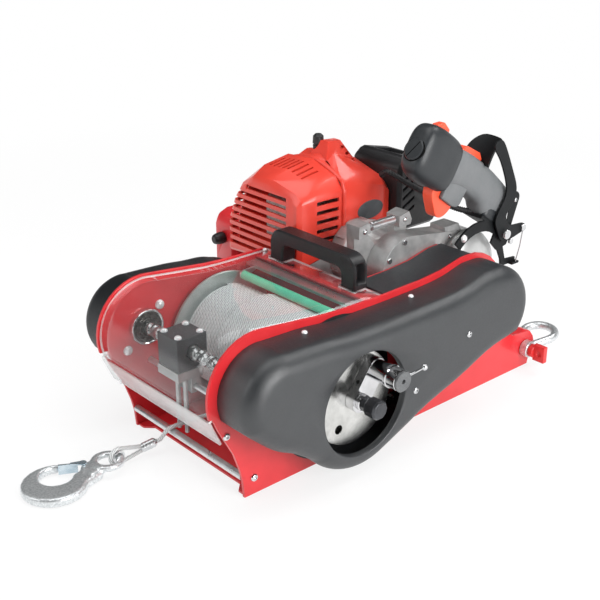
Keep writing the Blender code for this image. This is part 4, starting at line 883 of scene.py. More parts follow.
def add_rope(name, path, normal, body, stands_for=()):
    """A stranded rope as a piece, with its valleys kept as an attribute."""
    shape, valley = stranded(path, normal)
    mesh = bpy.data.meshes.new(name)
    mesh.from_pydata(metres(shape[0]).tolist(), [], shape[1])
    mesh.attributes.new("valley", "FLOAT", "POINT").data.foreach_set("value", valley)
    mesh.materials.append(rope_zinc)
    mesh.shade_smooth()
    item = bpy.data.objects.new(name, mesh)
    bpy.context.collection.objects.link(item)
    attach(item, body)
    if stands_for:
        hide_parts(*stands_for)
    return item


LAYER_TURNS = [12.0, 2.0, 0.5, 22.0]        # lower layer, to the flange, climb, upper layer
TURNS_FROM, TURNS_TO = -97.0, 92.9          # the outermost turns' centres


def winding_path():
    """Turns about the drum's axis whose X and radius change evenly within each stretch.

    The lower layer comes first, then a quick lay to the flange on the drive side, a climb, and
    the upper layer back to where the rope leaves.
    """
    marks = np.cumsum([0] + LAYER_TURNS)
    steps = int(2 * math.pi * UPPER_R / RING_STEP)
    turns = np.arange(0, int(marks[-1] * steps) + 1) / steps
    x = np.interp(turns, marks, [TURNS_FROM, ROPE_X - ROPE_D, TURNS_TO, TURNS_TO, ROPE_X])
    radius = np.interp(turns, marks, [LOWER_R, LOWER_R, LOWER_R, UPPER_R, UPPER_R])
    angle = EXIT_ANGLE + 2 * math.pi * (marks[-1] - turns)
    path = along_axis("x", DRUM[0] + radius * np.cos(angle), DRUM[1] + radius * np.sin(angle), x)
    return np.concatenate([path, path[-1] + PAY_OUT * np.array([[ROPE_D / 2], [ROPE_D]])])


winding = add_rope("rope_turns", winding_path(), (1.0, 0.0, 0.0), "drum", ["rope_winding"])
print("rope turns:", len(winding.data.polygons), "faces")

# %% [markdown]
# The free rope leaves the drum's underside, runs forward between the guide pins, dips over the
# front of the machine and ends in its ferrule on the floor. It is drawn tight here, so it has
# little sag. Its length is what the photograph shows from the drum to the ferrule.

# %% Free rope
FERRULE = np.array([[-38.0, -19.0, 16.0], [-43.5, -38.0, 10.6]])   # its two ends
FERRULE_LONG = float(np.linalg.norm(FERRULE[1] - FERRULE[0]))
FERRULE_ALONG = (FERRULE[1] - FERRULE[0]) / FERRULE_LONG
END_GAP = 0.3                               # mm left at each end of the free rope


def free_path():
    """A flowing curve from the drum's tangent, between the guide pins, to the ferrule."""
    leave = np.array([ROPE_X, DRUM[0] + UPPER_R * math.cos(EXIT_ANGLE),
                      DRUM[1] + UPPER_R * math.sin(EXIT_ANGLE)])
    start = leave + PAY_OUT * (ROPE_D + END_GAP)
    route = [start, start + PAY_OUT * 12.0, (ROPE_X, 70, 29.7), (ROPE_X, 16, 33.4),
             (ROPE_X, 1, 34.0), (-29.5, -7.5, 31.0), FERRULE[0] - FERRULE_ALONG * 6, FERRULE[0]]
    return flowing(route, 60)


free_line = free_path()
free_rope = add_rope("rope_lead", free_line, (1.0, 0.0, 0.0), "frame", ["rope_free"])
print("free rope:", len(free_line), "points")

# %% [markdown]
# ## Screws
#
# One small shape serves for all the screws: a domed head with a hexagonal socket, or a plain
# hexagon bolt. Its grid has a row for each ring of the profile. The rings of the hexagon reach
# as far as its half width divided by the cosine of the angle from the middle of a side.

# %% Screw heads
def hexagonal(angle):
    """How far a hexagon of half width 1 reaches at each angle."""
    return 1 / np.cos((angle + math.pi / 6) % (math.pi / 3) - math.pi / 6)


def screw_head(spot, axis="x", side=1, radius=5.0, kind="button", sides=24):
    """A button head with a socket, a plain dome or a hexagon bolt's head, on a face at a spot.

    A row is (height, reach, ring), the first two in head radii. Its points lie at the reach
    times the ring, in the direction of each angle.
    """
    angle = np.linspace(0, 2 * math.pi, sides, endpoint=False)
    circle, six = np.ones(sides), hexagonal(angle)
    rows = {
        "button": [(0.0, 0.0, circle), (0.0, 1.0, circle), (0.14, 1.0, circle),
                   (0.36, 0.92, circle), (0.52, 0.76, circle), (0.60, 0.56, circle),
                   (0.60, 0.42, six), (0.22, 0.40, six), (0.18, 0.0, circle)],
        "dome": [(0.0, 0.0, circle), (0.0, 1.0, circle), (0.22, 0.98, circle), (0.46, 0.86, circle),
                 (0.66, 0.62, circle), (0.77, 0.32, circle), (0.80, 0.0, circle)],
        "hexagon": [(0.0, 0.0, circle), (0.0, 0.86, six), (0.56, 0.86, six), (0.66, 0.84, circle),
                    (0.68, 0.0, circle)],
    }[kind]
    first, second, third = (spot[k] for k in AXES[axis])
    reach = radius * np.array([share * ring for _, share, ring in rows])
    along = third + side * radius * np.array([rise for rise, _, _ in rows])[:, None]
    grid = along_axis(axis, first + reach * np.cos(angle), second + reach * np.sin(angle), along)
    return surface(grid, wrap_columns=True)


def ball(centre, radius, sides=24):
    """A ball: a half circle of (minus cosine, sine) turned about X."""
    bend = np.linspace(0, math.pi, sides // 2 + 1)
    profile = [(centre[0] - radius * math.cos(b), radius * math.sin(b)) for b in bend]
    return turned(profile, centre[1:], sides=sides)


print("a button head:", len(screw_head((0, 0, 0))[1]), "faces")

# %% [markdown]
# All the fixed screws are one table, and each kind of head becomes one piece. Their places come
# from the photograph where it shows them.

# %% Screws on the frame
PLATE_OUT, FRAME_IN = 113.5, 109.2          # outer and inner faces of the two plates
FRAME_SCREWS = [                            # spot, axis, side, head radius, kind
    ((PLATE_OUT, -24, 91), "x", 1, 4.6, "button"), ((PLATE_OUT, 14, 22), "x", 1, 5.0, "button"),
    ((-PLATE_OUT, -24, 91), "x", -1, 4.6, "button"),
    ((-PLATE_OUT, 14, 22), "x", -1, 5.0, "button"),
    ((COVER_OUT, 316.5, 132), "x", 1, 4.4, "button"),
    ((COVER_OUT, 221, 86), "x", 1, 4.4, "button"),
    ((-COVER_OUT, 40, 120), "x", -1, 4.4, "button"),
    ((-COVER_OUT, 170, 60), "x", -1, 4.4, "button"),
    ((127, 80, 191.4), "z", 1, 3.6, "dome"), ((127, 255, 186.4), "z", 1, 3.6, "dome"),
    ((-127, 80, 191.4), "z", 1, 3.6, "dome"),
    ((-106.5, 217, 191.3), "z", 1, 3.6, "dome"), ((-91, -31.3, 83), "y", -1, 3.4, "dome"),
    ((-FRAME_IN, 44, 160), "x", 1, 6.5, "dome"), ((-FRAME_IN, -7, 111), "x", 1, 6.5, "dome"),
    ((FRAME_IN, 44, 160), "x", -1, 6.5, "dome"), ((FRAME_IN, -7, 111), "x", -1, 6.5, "dome"),
    ((77.2, 410, 211), "x", 1, 5.4, "dome"), ((83, 504, 187), "x", 1, 4.6, "hexagon"),
    ((77.9, 516, 243), "x", 1, 3.0, "button"), ((83, 492, 200), "x", 1, 7.6, "hexagon"),
    ((83, 530, 201), "x", 1, 5.2, "hexagon"),
]
for kind, material in (("button", screw_steel), ("dome", dome_steel_painted_glint), ("hexagon", screw_steel)):
    heads = [screw_head(*entry) for entry in FRAME_SCREWS if entry[-1] == kind]
    add_piece("frame_screws_" + kind, joined(heads), "frame", material, sharp=40)
    print(kind, "heads:", len(heads))

# %% [markdown]
# ## Clear sheet
#
# The sheet's sawn edges and its lip gather light and look white. Both are clear plastic mixed
# with a whitish share that varies from place to place: at the sawn edges partly real scatter and
# partly a painted glow, at the lip a painted glow.

# %% Clear plastic with a painted glow
def whitened_clear(name, white_share, rough):
    """Clear plastic mixed with a whitish share: scatter, and a painted glow of gathered light."""
    made = bpy.data.materials.new(name)
    tree = tree_of(made)
    shader = node(tree, "BsdfPrincipled", {
        "Base Color": (0.90, 0.92, 0.92, 1.0),
        "Roughness": speckle(tree, places(tree), 400.0, *rough)})
    through = node(tree, "BsdfTransparent", {"Color": CLEAR_TINT})
    share = speckle(tree, places(tree, stretch=(0.3, 1.0, 1.0)), 30.0, *white_share)
    mixed = node(tree, "MixShader", {0: share, 1: through.outputs[0], 2: shader.outputs[0]})
    node(tree, "OutputMaterial", {"Surface": mixed.outputs[0]})
    return made


sawn_edge_glow = whitened_clear("sawn_clear_edge_glow", (0.75, 0.95), (0.35, 0.6))
lip_painted_glow = whitened_clear("clear_lip_painted_glow", (0.30, 0.50), (0.25, 0.4))
print("hazy plastics:", sawn_edge_glow.name, lip_painted_glow.name)

# %% [markdown]
# The sheet is drawn as its middle surface: the profile from the front lip round the nose to the
# rear edge, carried across the machine. Squares that fall in the two notches for the handle's
# feet are left out, and Solidify gives the wall.

# %% Bent clear sheet
SHEET = 3.0                                 # mm thick
NOTCH_FROM, NOTCHES = 205.5, ((-86.0, -57.0), (50.0, 79.0))
LIP_TOP = 113.5


def clear_profile():
    """Middle line of the sheet, as (y, z) from lip to rear edge."""
    lip = np.array([(-28.7, 80.6), (-36.2, 97.0), (-43.6, LIP_TOP)])
    nose = arc((21, 137), 65.0, 200, 80, 48)
    top = flowing([(32.3, 201.0), (84, 194.95), (119, 191.3), (152, 190.0), (190, 190.0)], 16)[1:]
    return np.concatenate([lip, nose, top, [(NOTCH_FROM, 190.0), (224, 190.0)]])


def bent_sheet():
    """Each point of the profile at each place across, with the faces below the lip's top given the
    lip's painted glow.
    """
    profile = clear_profile()
    stops = np.array([-FRAME_IN, *NOTCHES[0], *NOTCHES[1], FRAME_IN])
    points, faces = surface(along_axis("x", profile[:, :1], profile[:, 1:], stops[None, :]))
    last_row = (len(profile) - 2) * (len(stops) - 1)
    notches = (last_row + 1, last_row + 3)
    faces = [face for n, face in enumerate(faces) if n not in notches]
    sheet = add_piece("bent_clear_sheet", (points, faces), "frame", clear_sheet, ["clear_cover"],
                      sharp=50)
    sheet.data.materials.append(sawn_edge_glow)
    sheet.data.materials.append(lip_painted_glow)
    heights = np.array([face.center.z for face in sheet.data.polygons])
    finish_of = np.where(heights < LIP_TOP * MM, 2, 0).astype(np.int32)
    sheet.data.polygons.foreach_set("material_index", finish_of)
    wall = sheet.modifiers.new("wall", "SOLIDIFY")
    wall.thickness, wall.offset, wall.material_offset_rim = SHEET * MM, 0.0, 1
    wall.use_even_offset = True
    return float(np.linalg.norm(np.diff(profile, axis=0), axis=1).sum())


print("clear sheet:", round(2 * FRAME_IN, 1), "mm wide,", round(bent_sheet()), "mm along its bend")

# %% [markdown]
# ## Drum, shaft and clutch
#
# Everything on the drum's axis is turned: each profile lists (place along the axis, radius) from
# one end to the other. The small steps at each corner are the machined edge breaks.

# %% Drum
BARREL_R, FLANGE_R, BORE = 45.0, 84.0, 10.3
WHEEL_X = (-132, -127)                      # the timing chain's two wheels
DRUM_PROFILE = [(-104, BORE), (-104, 82.8), (-103.2, FLANGE_R), (-100.8, FLANGE_R), (-100, 83.2),
                (-100, BARREL_R), (96, BARREL_R), (96, 83.2), (96.8, FLANGE_R), (99.2, FLANGE_R),
                (100, 82.8), (100, BORE)]
add_piece("spool", turned(DRUM_PROFILE, DRUM, sides=144), "drum", flange_steel, ["drum"])


def toothed(centre, tip, root, teeth, low, high, width=0.24):
    """A sprocket's wheel: four points a tooth, at its root, tip, tip and root radius."""
    share = np.arange(teeth)[:, None] + np.array([-width, -0.08, 0.08, width])
    turn = 2 * math.pi * share / teeth
    radius = np.broadcast_to([root, tip, tip, root], turn.shape)
    outline = np.stack([centre[0] + radius * np.cos(turn),
                        centre[1] + radius * np.sin(turn)], axis=-1)
    return pushed(outline.reshape(-1, 2), "x", low, high)


SHAFT_PROFILE = [(-142, 0), (-142, 9.4), (-141.4, 10), (167, 10), (168, 9), (168, 0)]
shaft = joined([turned(SHAFT_PROFILE, DRUM, sides=48), toothed(DRUM, 22.5, 18.5, 12, *WHEEL_X)])
add_piece("drive_shaft", shaft, "drum", polished_steel, ["drum_shaft"])
print("drum:", 2 * FLANGE_R, "mm over the flanges,", 2 * BARREL_R, "mm barrel")

# %% [markdown]
# The disc, the arm and its post are already right as solids, with their bored holes. They get
# edge breaks, and the disc is finished with the rings that facing on a lathe leaves. The pull
# knob on the arm's tip joins arm and disc by a pin. Its cap is a separate turning in a darker
# plate, with a small recess. Behind the disc a flat black ring is painted shade: it darkens the
# plate seen through the gap round the disc.

# %% Disc, arm and pull knob
ARM_REACH, ARM_ANGLE, POST_END = 42.0, math.radians(54.8), 184.0
ARM_TIP = (DRUM[0] + ARM_REACH * math.cos(ARM_ANGLE), DRUM[1] + ARM_REACH * math.sin(ARM_ANGLE))
softened("drive_disc", "disc", disc_steel, 0.5, 2)
softened("clutch_arm", "drum", polished_steel, 1.0, 2, angle=50)

SEAT = POST_END + 0.3                       # where the knob sits on its post
KNOB_PROFILE = [(145, 0), (145, 4.0), (145.7, 4.7), (SEAT, 4.7), (SEAT, 13.4),
                (SEAT + 1.0, 14.3), (SEAT + 4.0, 14.3), (SEAT + 5.0, 13.2),
                (SEAT + 17.4, 13.2), (SEAT + 18.2, 12.4), (SEAT + 18.2, 0)]
KNOB_CAP = [(SEAT + 18.0, 0), (SEAT + 18.0, 12.0), (SEAT + 18.8, 12.0), (SEAT + 18.8, 13.2),
            (SEAT + 20.6, 13.2), (SEAT + 21.7, 12.2), (SEAT + 21.7, 2.8), (SEAT + 20.9, 2.4),
            (SEAT + 19.0, 2.4), (SEAT + 19.0, 0)]
knob = turned(KNOB_PROFILE, ARM_TIP, sides=64)
add_piece("pull_knob", knob, "plunger", polished_steel, ["plunger_knob"])
add_piece("pull_knob_cap", turned(KNOB_CAP, ARM_TIP, sides=64), "plunger", grey_plated_steel)
SHADE_RING = [(113.9, 21.0), (113.9, 93.0), (114.7, 93.0), (114.7, 21.0)]
add_piece("chain_case_shade_ring", turned(SHADE_RING, DRUM, sides=96), "frame", black_plastic)
print("pull knob on the arm's tip:", [round(v, 1) for v in ARM_TIP])

# %% [markdown]
# A set screw's hole in the arm's edge is no more than a dark dot at this size, so a thin dark
# disc stands for it, as painted shade in the hole. The knob's thin lever is a bar along a
# slightly bowed line, with a ball.

# %% Set screw and pull lever
SET_SCREW_AT = 0.45                         # share of the way from the shaft to the arm's tip
SET_SCREW_R, SET_SCREW_X, ARM_HALF = 2.3, 156.6, 14.2
ahead = np.array([math.cos(ARM_ANGLE), math.sin(ARM_ANGLE)])
aside = np.array([-ahead[1], ahead[0]])
edge_spot = np.array(DRUM) + ahead * ARM_REACH * SET_SCREW_AT + aside * ARM_HALF
bend = np.linspace(0, 2 * math.pi, 16, endpoint=False)
along, rise = SET_SCREW_R * np.cos(bend), SET_SCREW_R * np.sin(bend)
ring_rows = [along_axis("x", y + ahead[0] * along, z + ahead[1] * along, SET_SCREW_X + rise)
             for y, z in (edge_spot + aside * out for out in (-0.3, 0.12))]
hole_shade_disc = surface(np.stack(ring_rows), wrap_columns=True, ends=True)
add_piece("set_screw_hole_shade", hole_shade_disc, "drum", gap_shade_black)

LEVER_BAR_R, LEVER_BALL_R = 1.6, 4.2
LEVER_RUN, LEVER_BOW = np.array([-6.0, 44.0, -2.0]), np.array([1.5, 0.0, 1.0])
lever_root = np.array([SEAT + 13.7, ARM_TIP[0] + 6.0, ARM_TIP[1] - 1.0])
lever_end = lever_root + LEVER_RUN
lever_line = flowing([lever_root, (lever_root + lever_end) / 2 + LEVER_BOW, lever_end], 12)
pull_lever = joined([swept(lever_line, LEVER_BAR_R, 12), ball(lever_end, LEVER_BALL_R)])
add_piece("pull_lever", pull_lever, "plunger", screw_steel)
print("pull lever:", round(float(np.linalg.norm(LEVER_RUN)), 1), "mm long")

# %% [markdown]
# The knob on the hub is a casting with ten flats on a hexagon nut. The flats come from turning
# the profile in only ten steps.

# %% Centre knob
FLATS = 10
HUB_KNOB = [(177, 0), (177, 11.4), (178.2, 12.5), (191.6, 12.5), (194, 10.6), (194, 0)]
hub_nut = pushed(arc(DRUM, 9.5, 0, 300, 5), "x", 168.3, 177.0)
hub_knob = add_piece("hub_knob", joined([hub_nut, turned(HUB_KNOB, DRUM, sides=FLATS)]),
                     "centre_knob", dark_chrome, ["centre_knob"], sharp=25)
bevelled(hub_knob, 0.4, 2, 25)
print("centre knob:", FLATS, "flats")

# %% [markdown]
# ## Drive chain
#
# The chain is a roller chain: its centre line is the belt of two arcs, cut into equal pitches.
# At each joint sits a roller, and between joints lie two side plates, outer and inner in turn.

# %% Roller chain
CHAIN_MID, CHAIN_HALF, PITCH = 132.0, 3.5, 12.7
LINK_T, LINK_STEP = 1.1, 1.2                # plate thickness, and how far the inner ones sit in
ROLLER_R, ROLLER_HALF, RIVET_R, RIVET_OUT = 3.2, 1.2, 1.6, 0.3
REAR_WHEEL, FRONT_R, REAR_R = (378.0, 140.0), 61.0, 24.0


def belt_line(front, front_r, rear, rear_r, pitch):
    """Evenly spaced joints on the belt round two wheels, an even number of them.

    The straight runs leave each wheel at a right angle to a line that leans from the line of
    centres by the arc sine of the radii's difference over the centres' distance.
    """
    span = np.array(rear) - np.array(front)
    heading = math.degrees(math.atan2(span[1], span[0]))
    half = 90 - math.degrees(math.asin((front_r - rear_r) / np.linalg.norm(span)))
    loop = np.concatenate([arc(front, front_r, heading + half, heading + 360 - half, 90),
                           arc(rear, rear_r, heading - half, heading + half, 60)])
    loop = np.concatenate([loop, loop[:1]])
    reach = np.concatenate([[0], np.cumsum(np.linalg.norm(np.diff(loop, axis=0), axis=1))])
    marks = np.linspace(0, reach[-1], 2 * round(reach[-1] / pitch / 2), endpoint=False)
    return np.stack([np.interp(marks, reach, column) for column in loop.T], axis=1)


def link_plate(start, end, low, high, waist=3.9):
    """A side plate: half circles about both joints, pushed along X."""
    heading = math.degrees(math.atan2(*(end - start)[::-1]))
    outline = np.concatenate([arc(start, waist, heading + 90, heading + 270, 5),
                              arc(end, waist, heading - 90, heading + 90, 5)])
    return pushed(outline, "x", low, high)


def roller_chain():
    """Two plates, a roller and a rivet for each joint, the plates outer and inner in turn."""
    joints = belt_line(DRUM, FRONT_R, REAR_WHEEL, REAR_R, PITCH)
    rivet_half = CHAIN_HALF + RIVET_OUT
    shapes = []
    for n, (start, end) in enumerate(zip(joints, np.roll(joints, -1, axis=0))):
        outer = CHAIN_HALF if n % 2 else CHAIN_HALF - LINK_STEP
        shapes += [
            link_plate(start, end, CHAIN_MID + outer - LINK_T, CHAIN_MID + outer),
            link_plate(start, end, CHAIN_MID - outer, CHAIN_MID - outer + LINK_T),
            pushed(arc(start, ROLLER_R, 0, 315, 7), "x", CHAIN_MID - ROLLER_HALF,
                   CHAIN_MID + ROLLER_HALF),
            pushed(arc(start, RIVET_R, 0, 300, 5), "x", CHAIN_MID - rivet_half,
                   CHAIN_MID + rivet_half)]
    add_piece("roller_chain", joined(shapes), "frame", chain_steel, ["drive_chain"], sharp=50)
    return len(joints)


print("chain joints:", roller_chain())

# %% [markdown]
# ## Level wind
#
# The reversing screw has two grooves of opposite hand that cross twice in every lead. Its
# radius is the screw's less the groove depth, times a narrow power of the cosine of half the
# angle from the nearer groove.

# %% Level-wind screw
SCREW_AT, SCREW_R, SCREW_SPAN = (21.0, 137.0), 9.0, 96.0
GROOVE_LEAD, GROOVE_DEPTH, GROOVE_POWER = 19.2, 2.2, 6


def reversing_screw():
    """A bar whose radius falls along two helices: one angle grows with x, the other shrinks."""
    x = np.linspace(-SCREW_SPAN, SCREW_SPAN, 481)[:, None]
    angle = np.linspace(0, 2 * math.pi, 48, endpoint=False)[None, :]
    turn = 2 * math.pi * x / GROOVE_LEAD
    share = np.maximum(np.cos((angle - turn) / 2) ** GROOVE_POWER,
                       np.cos((angle + turn) / 2) ** GROOVE_POWER)
    radius = SCREW_R - GROOVE_DEPTH * share
    grid = along_axis("x", SCREW_AT[0] + radius * np.cos(angle),
                      SCREW_AT[1] + radius * np.sin(angle), x)
    return surface(grid, wrap_columns=True, ends=True)


JOURNAL_R, SHORT_R = 7.6, 7.0               # bearing seats, and their broken ends
FAR_JOURNAL = [(-142, 0), (-142, SHORT_R), (-141.4, JOURNAL_R), (-SCREW_SPAN, JOURNAL_R),
               (-SCREW_SPAN, 0)]
NEAR_JOURNAL = [(SCREW_SPAN, 0), (SCREW_SPAN, JOURNAL_R), (121.4, JOURNAL_R), (122, SHORT_R),
                (122, 0)]
level_wind = joined([
    reversing_screw(), turned(FAR_JOURNAL, SCREW_AT, sides=36),
    turned(NEAR_JOURNAL, SCREW_AT, sides=36), toothed(SCREW_AT, 44.5, 40.5, 24, *WHEEL_X)])
add_piece("reversing_screw", level_wind, "screw", screw_ground, ["level_wind_screw"], sharp=60)
print("grooves cross every", GROOVE_LEAD / 2, "mm")

# %% [markdown]
# Each end of the screw runs in a bearing in a bright rim. Both sides are the same two rings,
# with their depths measured inwards from the plate.

# %% Bearings and the block's screws
RIM_RING = [(0, 20.6), (0, 24.0), (6.0, 24.0), (7.6, 23.0), (7.8, 21.6), (6.6, 20.6)]
RACE_RING = [(0, 8.3), (0, 20.4), (5.2, 20.4), (5.2, 18.0), (6.6, 17.2), (6.6, 12.6),
             (8.0, 11.8), (8.0, 8.3)]
for side, name in ((-1, "left"), (1, "right")):
    rim, race = ([(side * (FRAME_IN - depth), reach) for depth, reach in ring]
                 for ring in (RIM_RING, RACE_RING))
    add_piece("bearing_rim_" + name, turned(rim, SCREW_AT, sides=72), "frame", screw_steel)
    add_piece("bearing_race_" + name, turned(race, SCREW_AT, sides=72), "frame", oiled_steel,
              ["screw_bearing_" + name])
BLOCK_SCREWS = [((x, y, 158.0), "z", 1, 4.7, "dome") for x in (-42, -13) for y in (4, 36)]
block_screws = joined([screw_head(*entry) for entry in BLOCK_SCREWS])
add_piece("block_screws", block_screws, "carriage", dome_steel_painted_glint)
print("block screws:", len(BLOCK_SCREWS))

# %% [markdown]
# The green roller keeps the turns down on the drum, and two plain rods tie the plates together.
# All three are turned, because a solid of few faces looks faceted so close to the camera.

# %% Roller and rods
ROLLER_PROFILE = [(-95, 0), (-95, 2.4), (-92, 2.4), (-92, 5.4), (-91.4, 6.0), (91.4, 6.0),
                  (92, 5.4), (92, 2.4), (95, 2.4), (95, 0)]
ROLLER_AT = (168, 172.5)
add_piece("green_roller", turned(ROLLER_PROFILE, ROLLER_AT, sides=40), "roller", roller_plastic,
          ["pressure_roller"])
RODS = {"front_rod": ((1, 26), 4.6), "guide_rod": ((26, 88), 4.0)}   # axis and radius
for name, (centre, reach) in RODS.items():
    rod_profile = [(-FRAME_IN, 0), (-FRAME_IN, reach), (FRAME_IN, reach), (FRAME_IN, 0)]
    rod = turned(rod_profile, centre, sides=40)
    add_piece(name + "_round", rod, "frame", zinc, [name])
print("rods:", len(RODS))

# %% [markdown]
# ## Throttle grip
#
# The grip leans down to the rear, so its shapes are drawn in a frame of their own: x across the
# machine, s along the grip and u across it. A section is a superellipse, whose cosine and sine
# are raised to a power below one. It swells and narrows along a smooth curve through the
# drawing's stations.

# %% Grip frame
GRIP_TILT, GRIP_MID = math.radians(-32.3), 59.0


def from_grip(x, s, u):
    """Points of the grip frame in the drawing's frame: s and u turned by the grip's tilt."""
    c, d = math.cos(GRIP_TILT), math.sin(GRIP_TILT)
    return np.stack(np.broadcast_arrays(x, c * s - d * u, d * s + c * u), axis=-1)


def tilted(shape):
    """A shape drawn as (x, s, u), brought into the drawing's frame."""
    return from_grip(*shape[0].T), shape[1]


def grip_moulding(stations, power=0.62, sides=64, count=44):
    """Superellipse sections along the grip: half sizes times a power of the cosine and sine.

    A station is (s, lowest u, highest u, half width). The first and last ones are small, which
    rounds the ends.
    """
    s, low, high, half = flowing(stations, count).T
    angle = np.linspace(0, 2 * math.pi, sides, endpoint=False)[None, :]
    c, d = np.cos(angle), np.sin(angle)
    x = GRIP_MID + half[:, None] * np.sign(c) * np.abs(c) ** power
    middle, half_tall = ((low + high) / 2)[:, None], ((high - low) / 2)[:, None]
    u = middle + half_tall * np.sign(d) * np.abs(d) ** power
    return surface(from_grip(x, s[:, None], u), wrap_columns=True, ends=True)


print("grip leans", round(math.degrees(GRIP_TILT), 1), "degrees")

# %% [markdown]
# The trigger, the lockout and the switch each sit in a well in a moulding. The wells are cut
# with Boolean, applied at once so that no tool object is left behind.

# %% Carving
def carved(item, cutters, sharp=40.0):
    """Take shapes away from a piece and keep the result as its mesh."""
    tools = []
    for shape in cutters:
        mesh = bpy.data.meshes.new("tool")
        mesh.from_pydata(metres(shape[0]).tolist(), [], shape[1])
        settle(mesh)
        tool = bpy.data.objects.new("tool", mesh)
        bpy.context.collection.objects.link(tool)
        cut = item.modifiers.new("cut", "BOOLEAN")
        cut.object, cut.solver = tool, "EXACT"
        tools.append(tool)
    seen = item.evaluated_get(bpy.context.evaluated_depsgraph_get())
    item.data = bpy.data.meshes.new_from_object(seen)
    item.modifiers.clear()
    for tool in tools:
        bpy.data.objects.remove(tool)
    item.data.shade_smooth()
    item.data.set_sharp_from_angle(angle=math.radians(sharp))
    return item


def across_grip(outline, half):
    """An outline in (s, u), pushed to both sides of the grip's middle."""
    outline = np.array(outline, float)
    sides = [np.column_stack([np.full(len(outline), GRIP_MID + way * half), outline])
             for way in (-1, 1)]
    return tilted(surface(np.stack(sides), wrap_columns=True, ends=True))


TRIGGER_ROOM, TRIGGER_HALF = [(131, 415), (131, 449), (195, 449), (195, 415)], 9.5
LOCKOUT_ROOM, LOCKOUT_HALF = [(167, 486), (167, 515), (218, 515), (218, 486)], 8.5
SWITCH_ROOM, SWITCH_HALF = [(104, 500), (104, 515), (144, 515), (144, 500)], 6.0
trigger_well = across_grip(TRIGGER_ROOM, TRIGGER_HALF)
lockout_well = across_grip(LOCKOUT_ROOM, LOCKOUT_HALF)
switch_well = across_grip(SWITCH_ROOM, SWITCH_HALF)
print("trigger's well:", 2 * TRIGGER_HALF, "mm wide")

# %% [markdown]
# The grip is three mouldings: a dark head with the switch and the trigger, a grey body for the
# hand, and a dark foot where it is clamped. Two cheeks run down from the body on both sides of
# the trigger. Each moulding is a short table of stations, read off the photograph.

# %% Grip mouldings
HEAD_STATIONS = [(87.6, 459, 485, 7), (88.6, 450, 493, 12.5), (91.5, 443, 499.2, 16.6),
                 (98, 436.5, 504, 19.6), (110, 432.5, 506.4, 21.2), (125, 431, 507, 21.5),
                 (148, 432, 505.4, 21), (161, 436, 502, 19)]
BODY_STATIONS = [(161.3, 445, 499, 18.5), (185, 450, 501, 18), (215, 451, 501, 17.5),
                 (240, 448, 499, 17.5), (256, 438, 497, 18), (284, 438, 492, 18),
                 (300, 446, 486, 16), (307, 454, 482, 12.5), (311, 462, 478, 7)]
FOOT_STATIONS = [(256, 440, 451, 13), (261, 436.6, 454, 17), (270, 435.8, 456, 18.6),
                 (284, 436.4, 456, 18.6), (298, 443.6, 459, 16.8), (305, 451, 462, 13)]
CHEEKS = [(161.3, 428), (188, 426.4), (197, 428.5), (201.6, 434), (203, 458), (161.3, 458)]
head = add_piece("throttle_head", grip_moulding(HEAD_STATIONS), "frame", head_plastic,
                 ["grip_head"], sharp=50)
carved(head, [trigger_well, switch_well])
body = add_piece("throttle_body", grip_moulding(BODY_STATIONS), "frame", grip_rubber,
                 ["grip_body"], sharp=50)
carved(body, [lockout_well, trigger_well])
foot = grip_moulding(FOOT_STATIONS, power=0.5)
add_piece("grip_foot", foot, "frame", head_plastic, sharp=50)
cheeks = add_piece("trigger_cheeks", across_grip(CHEEKS, 15.0), "frame", grip_rubber)
carved(bevelled(cheeks, 2.4, 4, 30), [trigger_well])
print("grip mouldings:", len(head.data.polygons) + len(body.data.polygons), "faces")

# %% [markdown]
# A round cap closes the head's end. The gap round it and the slot across it are too fine to be
# carved, so thin black shapes stand in them as painted shade, and a small nub sits beside the cap.

# %% Throttle cap
CAP_MID, CAP_R, CAP_FACE, CAP_BACK = (60.0, 465.0), 14.4, 86.4, 93.0
SLOT_HALF, SLOT_TURN, SLOT_MARGIN = 0.7, math.radians(62), 1.6
NUB_AT, NUB_R = (CAP_MID[0] - 14.6, 92.0, CAP_MID[1] + 3), 3.0


def cap_turned(profile, sides=56):
    """A profile of (s, radius) turned about the cap's axis, which runs along the grip."""
    return tilted(turned(profile, CAP_MID, "y", sides))


cap = [(CAP_BACK, 0), (CAP_BACK, CAP_R), (CAP_FACE + 1.2, CAP_R), (CAP_FACE, CAP_R - 1.4),
       (CAP_FACE, 0)]
gap_ring = [(95, CAP_R + 0.1), (95, CAP_R + 1.3), (CAP_FACE + 1.6, CAP_R + 1.3),
            (CAP_FACE + 1.6, CAP_R + 0.1)]
slot_axis = np.array([math.cos(SLOT_TURN), math.sin(SLOT_TURN)])
slot_side = np.array([-slot_axis[1], slot_axis[0]])
slot_corners = np.array([slot_axis * a * (CAP_R - SLOT_MARGIN) + slot_side * b * SLOT_HALF
                         for a, b in ((-1, -1), (1, -1), (1, 1), (-1, 1))])
slot = tilted(pushed(slot_corners + np.array(CAP_MID), "y", CAP_FACE - 0.12, CAP_FACE + 1))
nub = tilted(ball(NUB_AT, NUB_R, 20))
add_piece("throttle_cap", joined([cap_turned(cap), nub]), "frame", head_plastic, sharp=40)
add_piece("throttle_cap_gap_shade", joined([cap_turned(gap_ring), slot]), "frame", gap_shade_black)
print("cap:", 2 * CAP_R, "mm across")

# %% [markdown]
# The trigger is a curved blade for one finger. Its outline is a closed flowing curve through a
# few points, pushed to both sides, with a wide bevel like a moulding's radius.

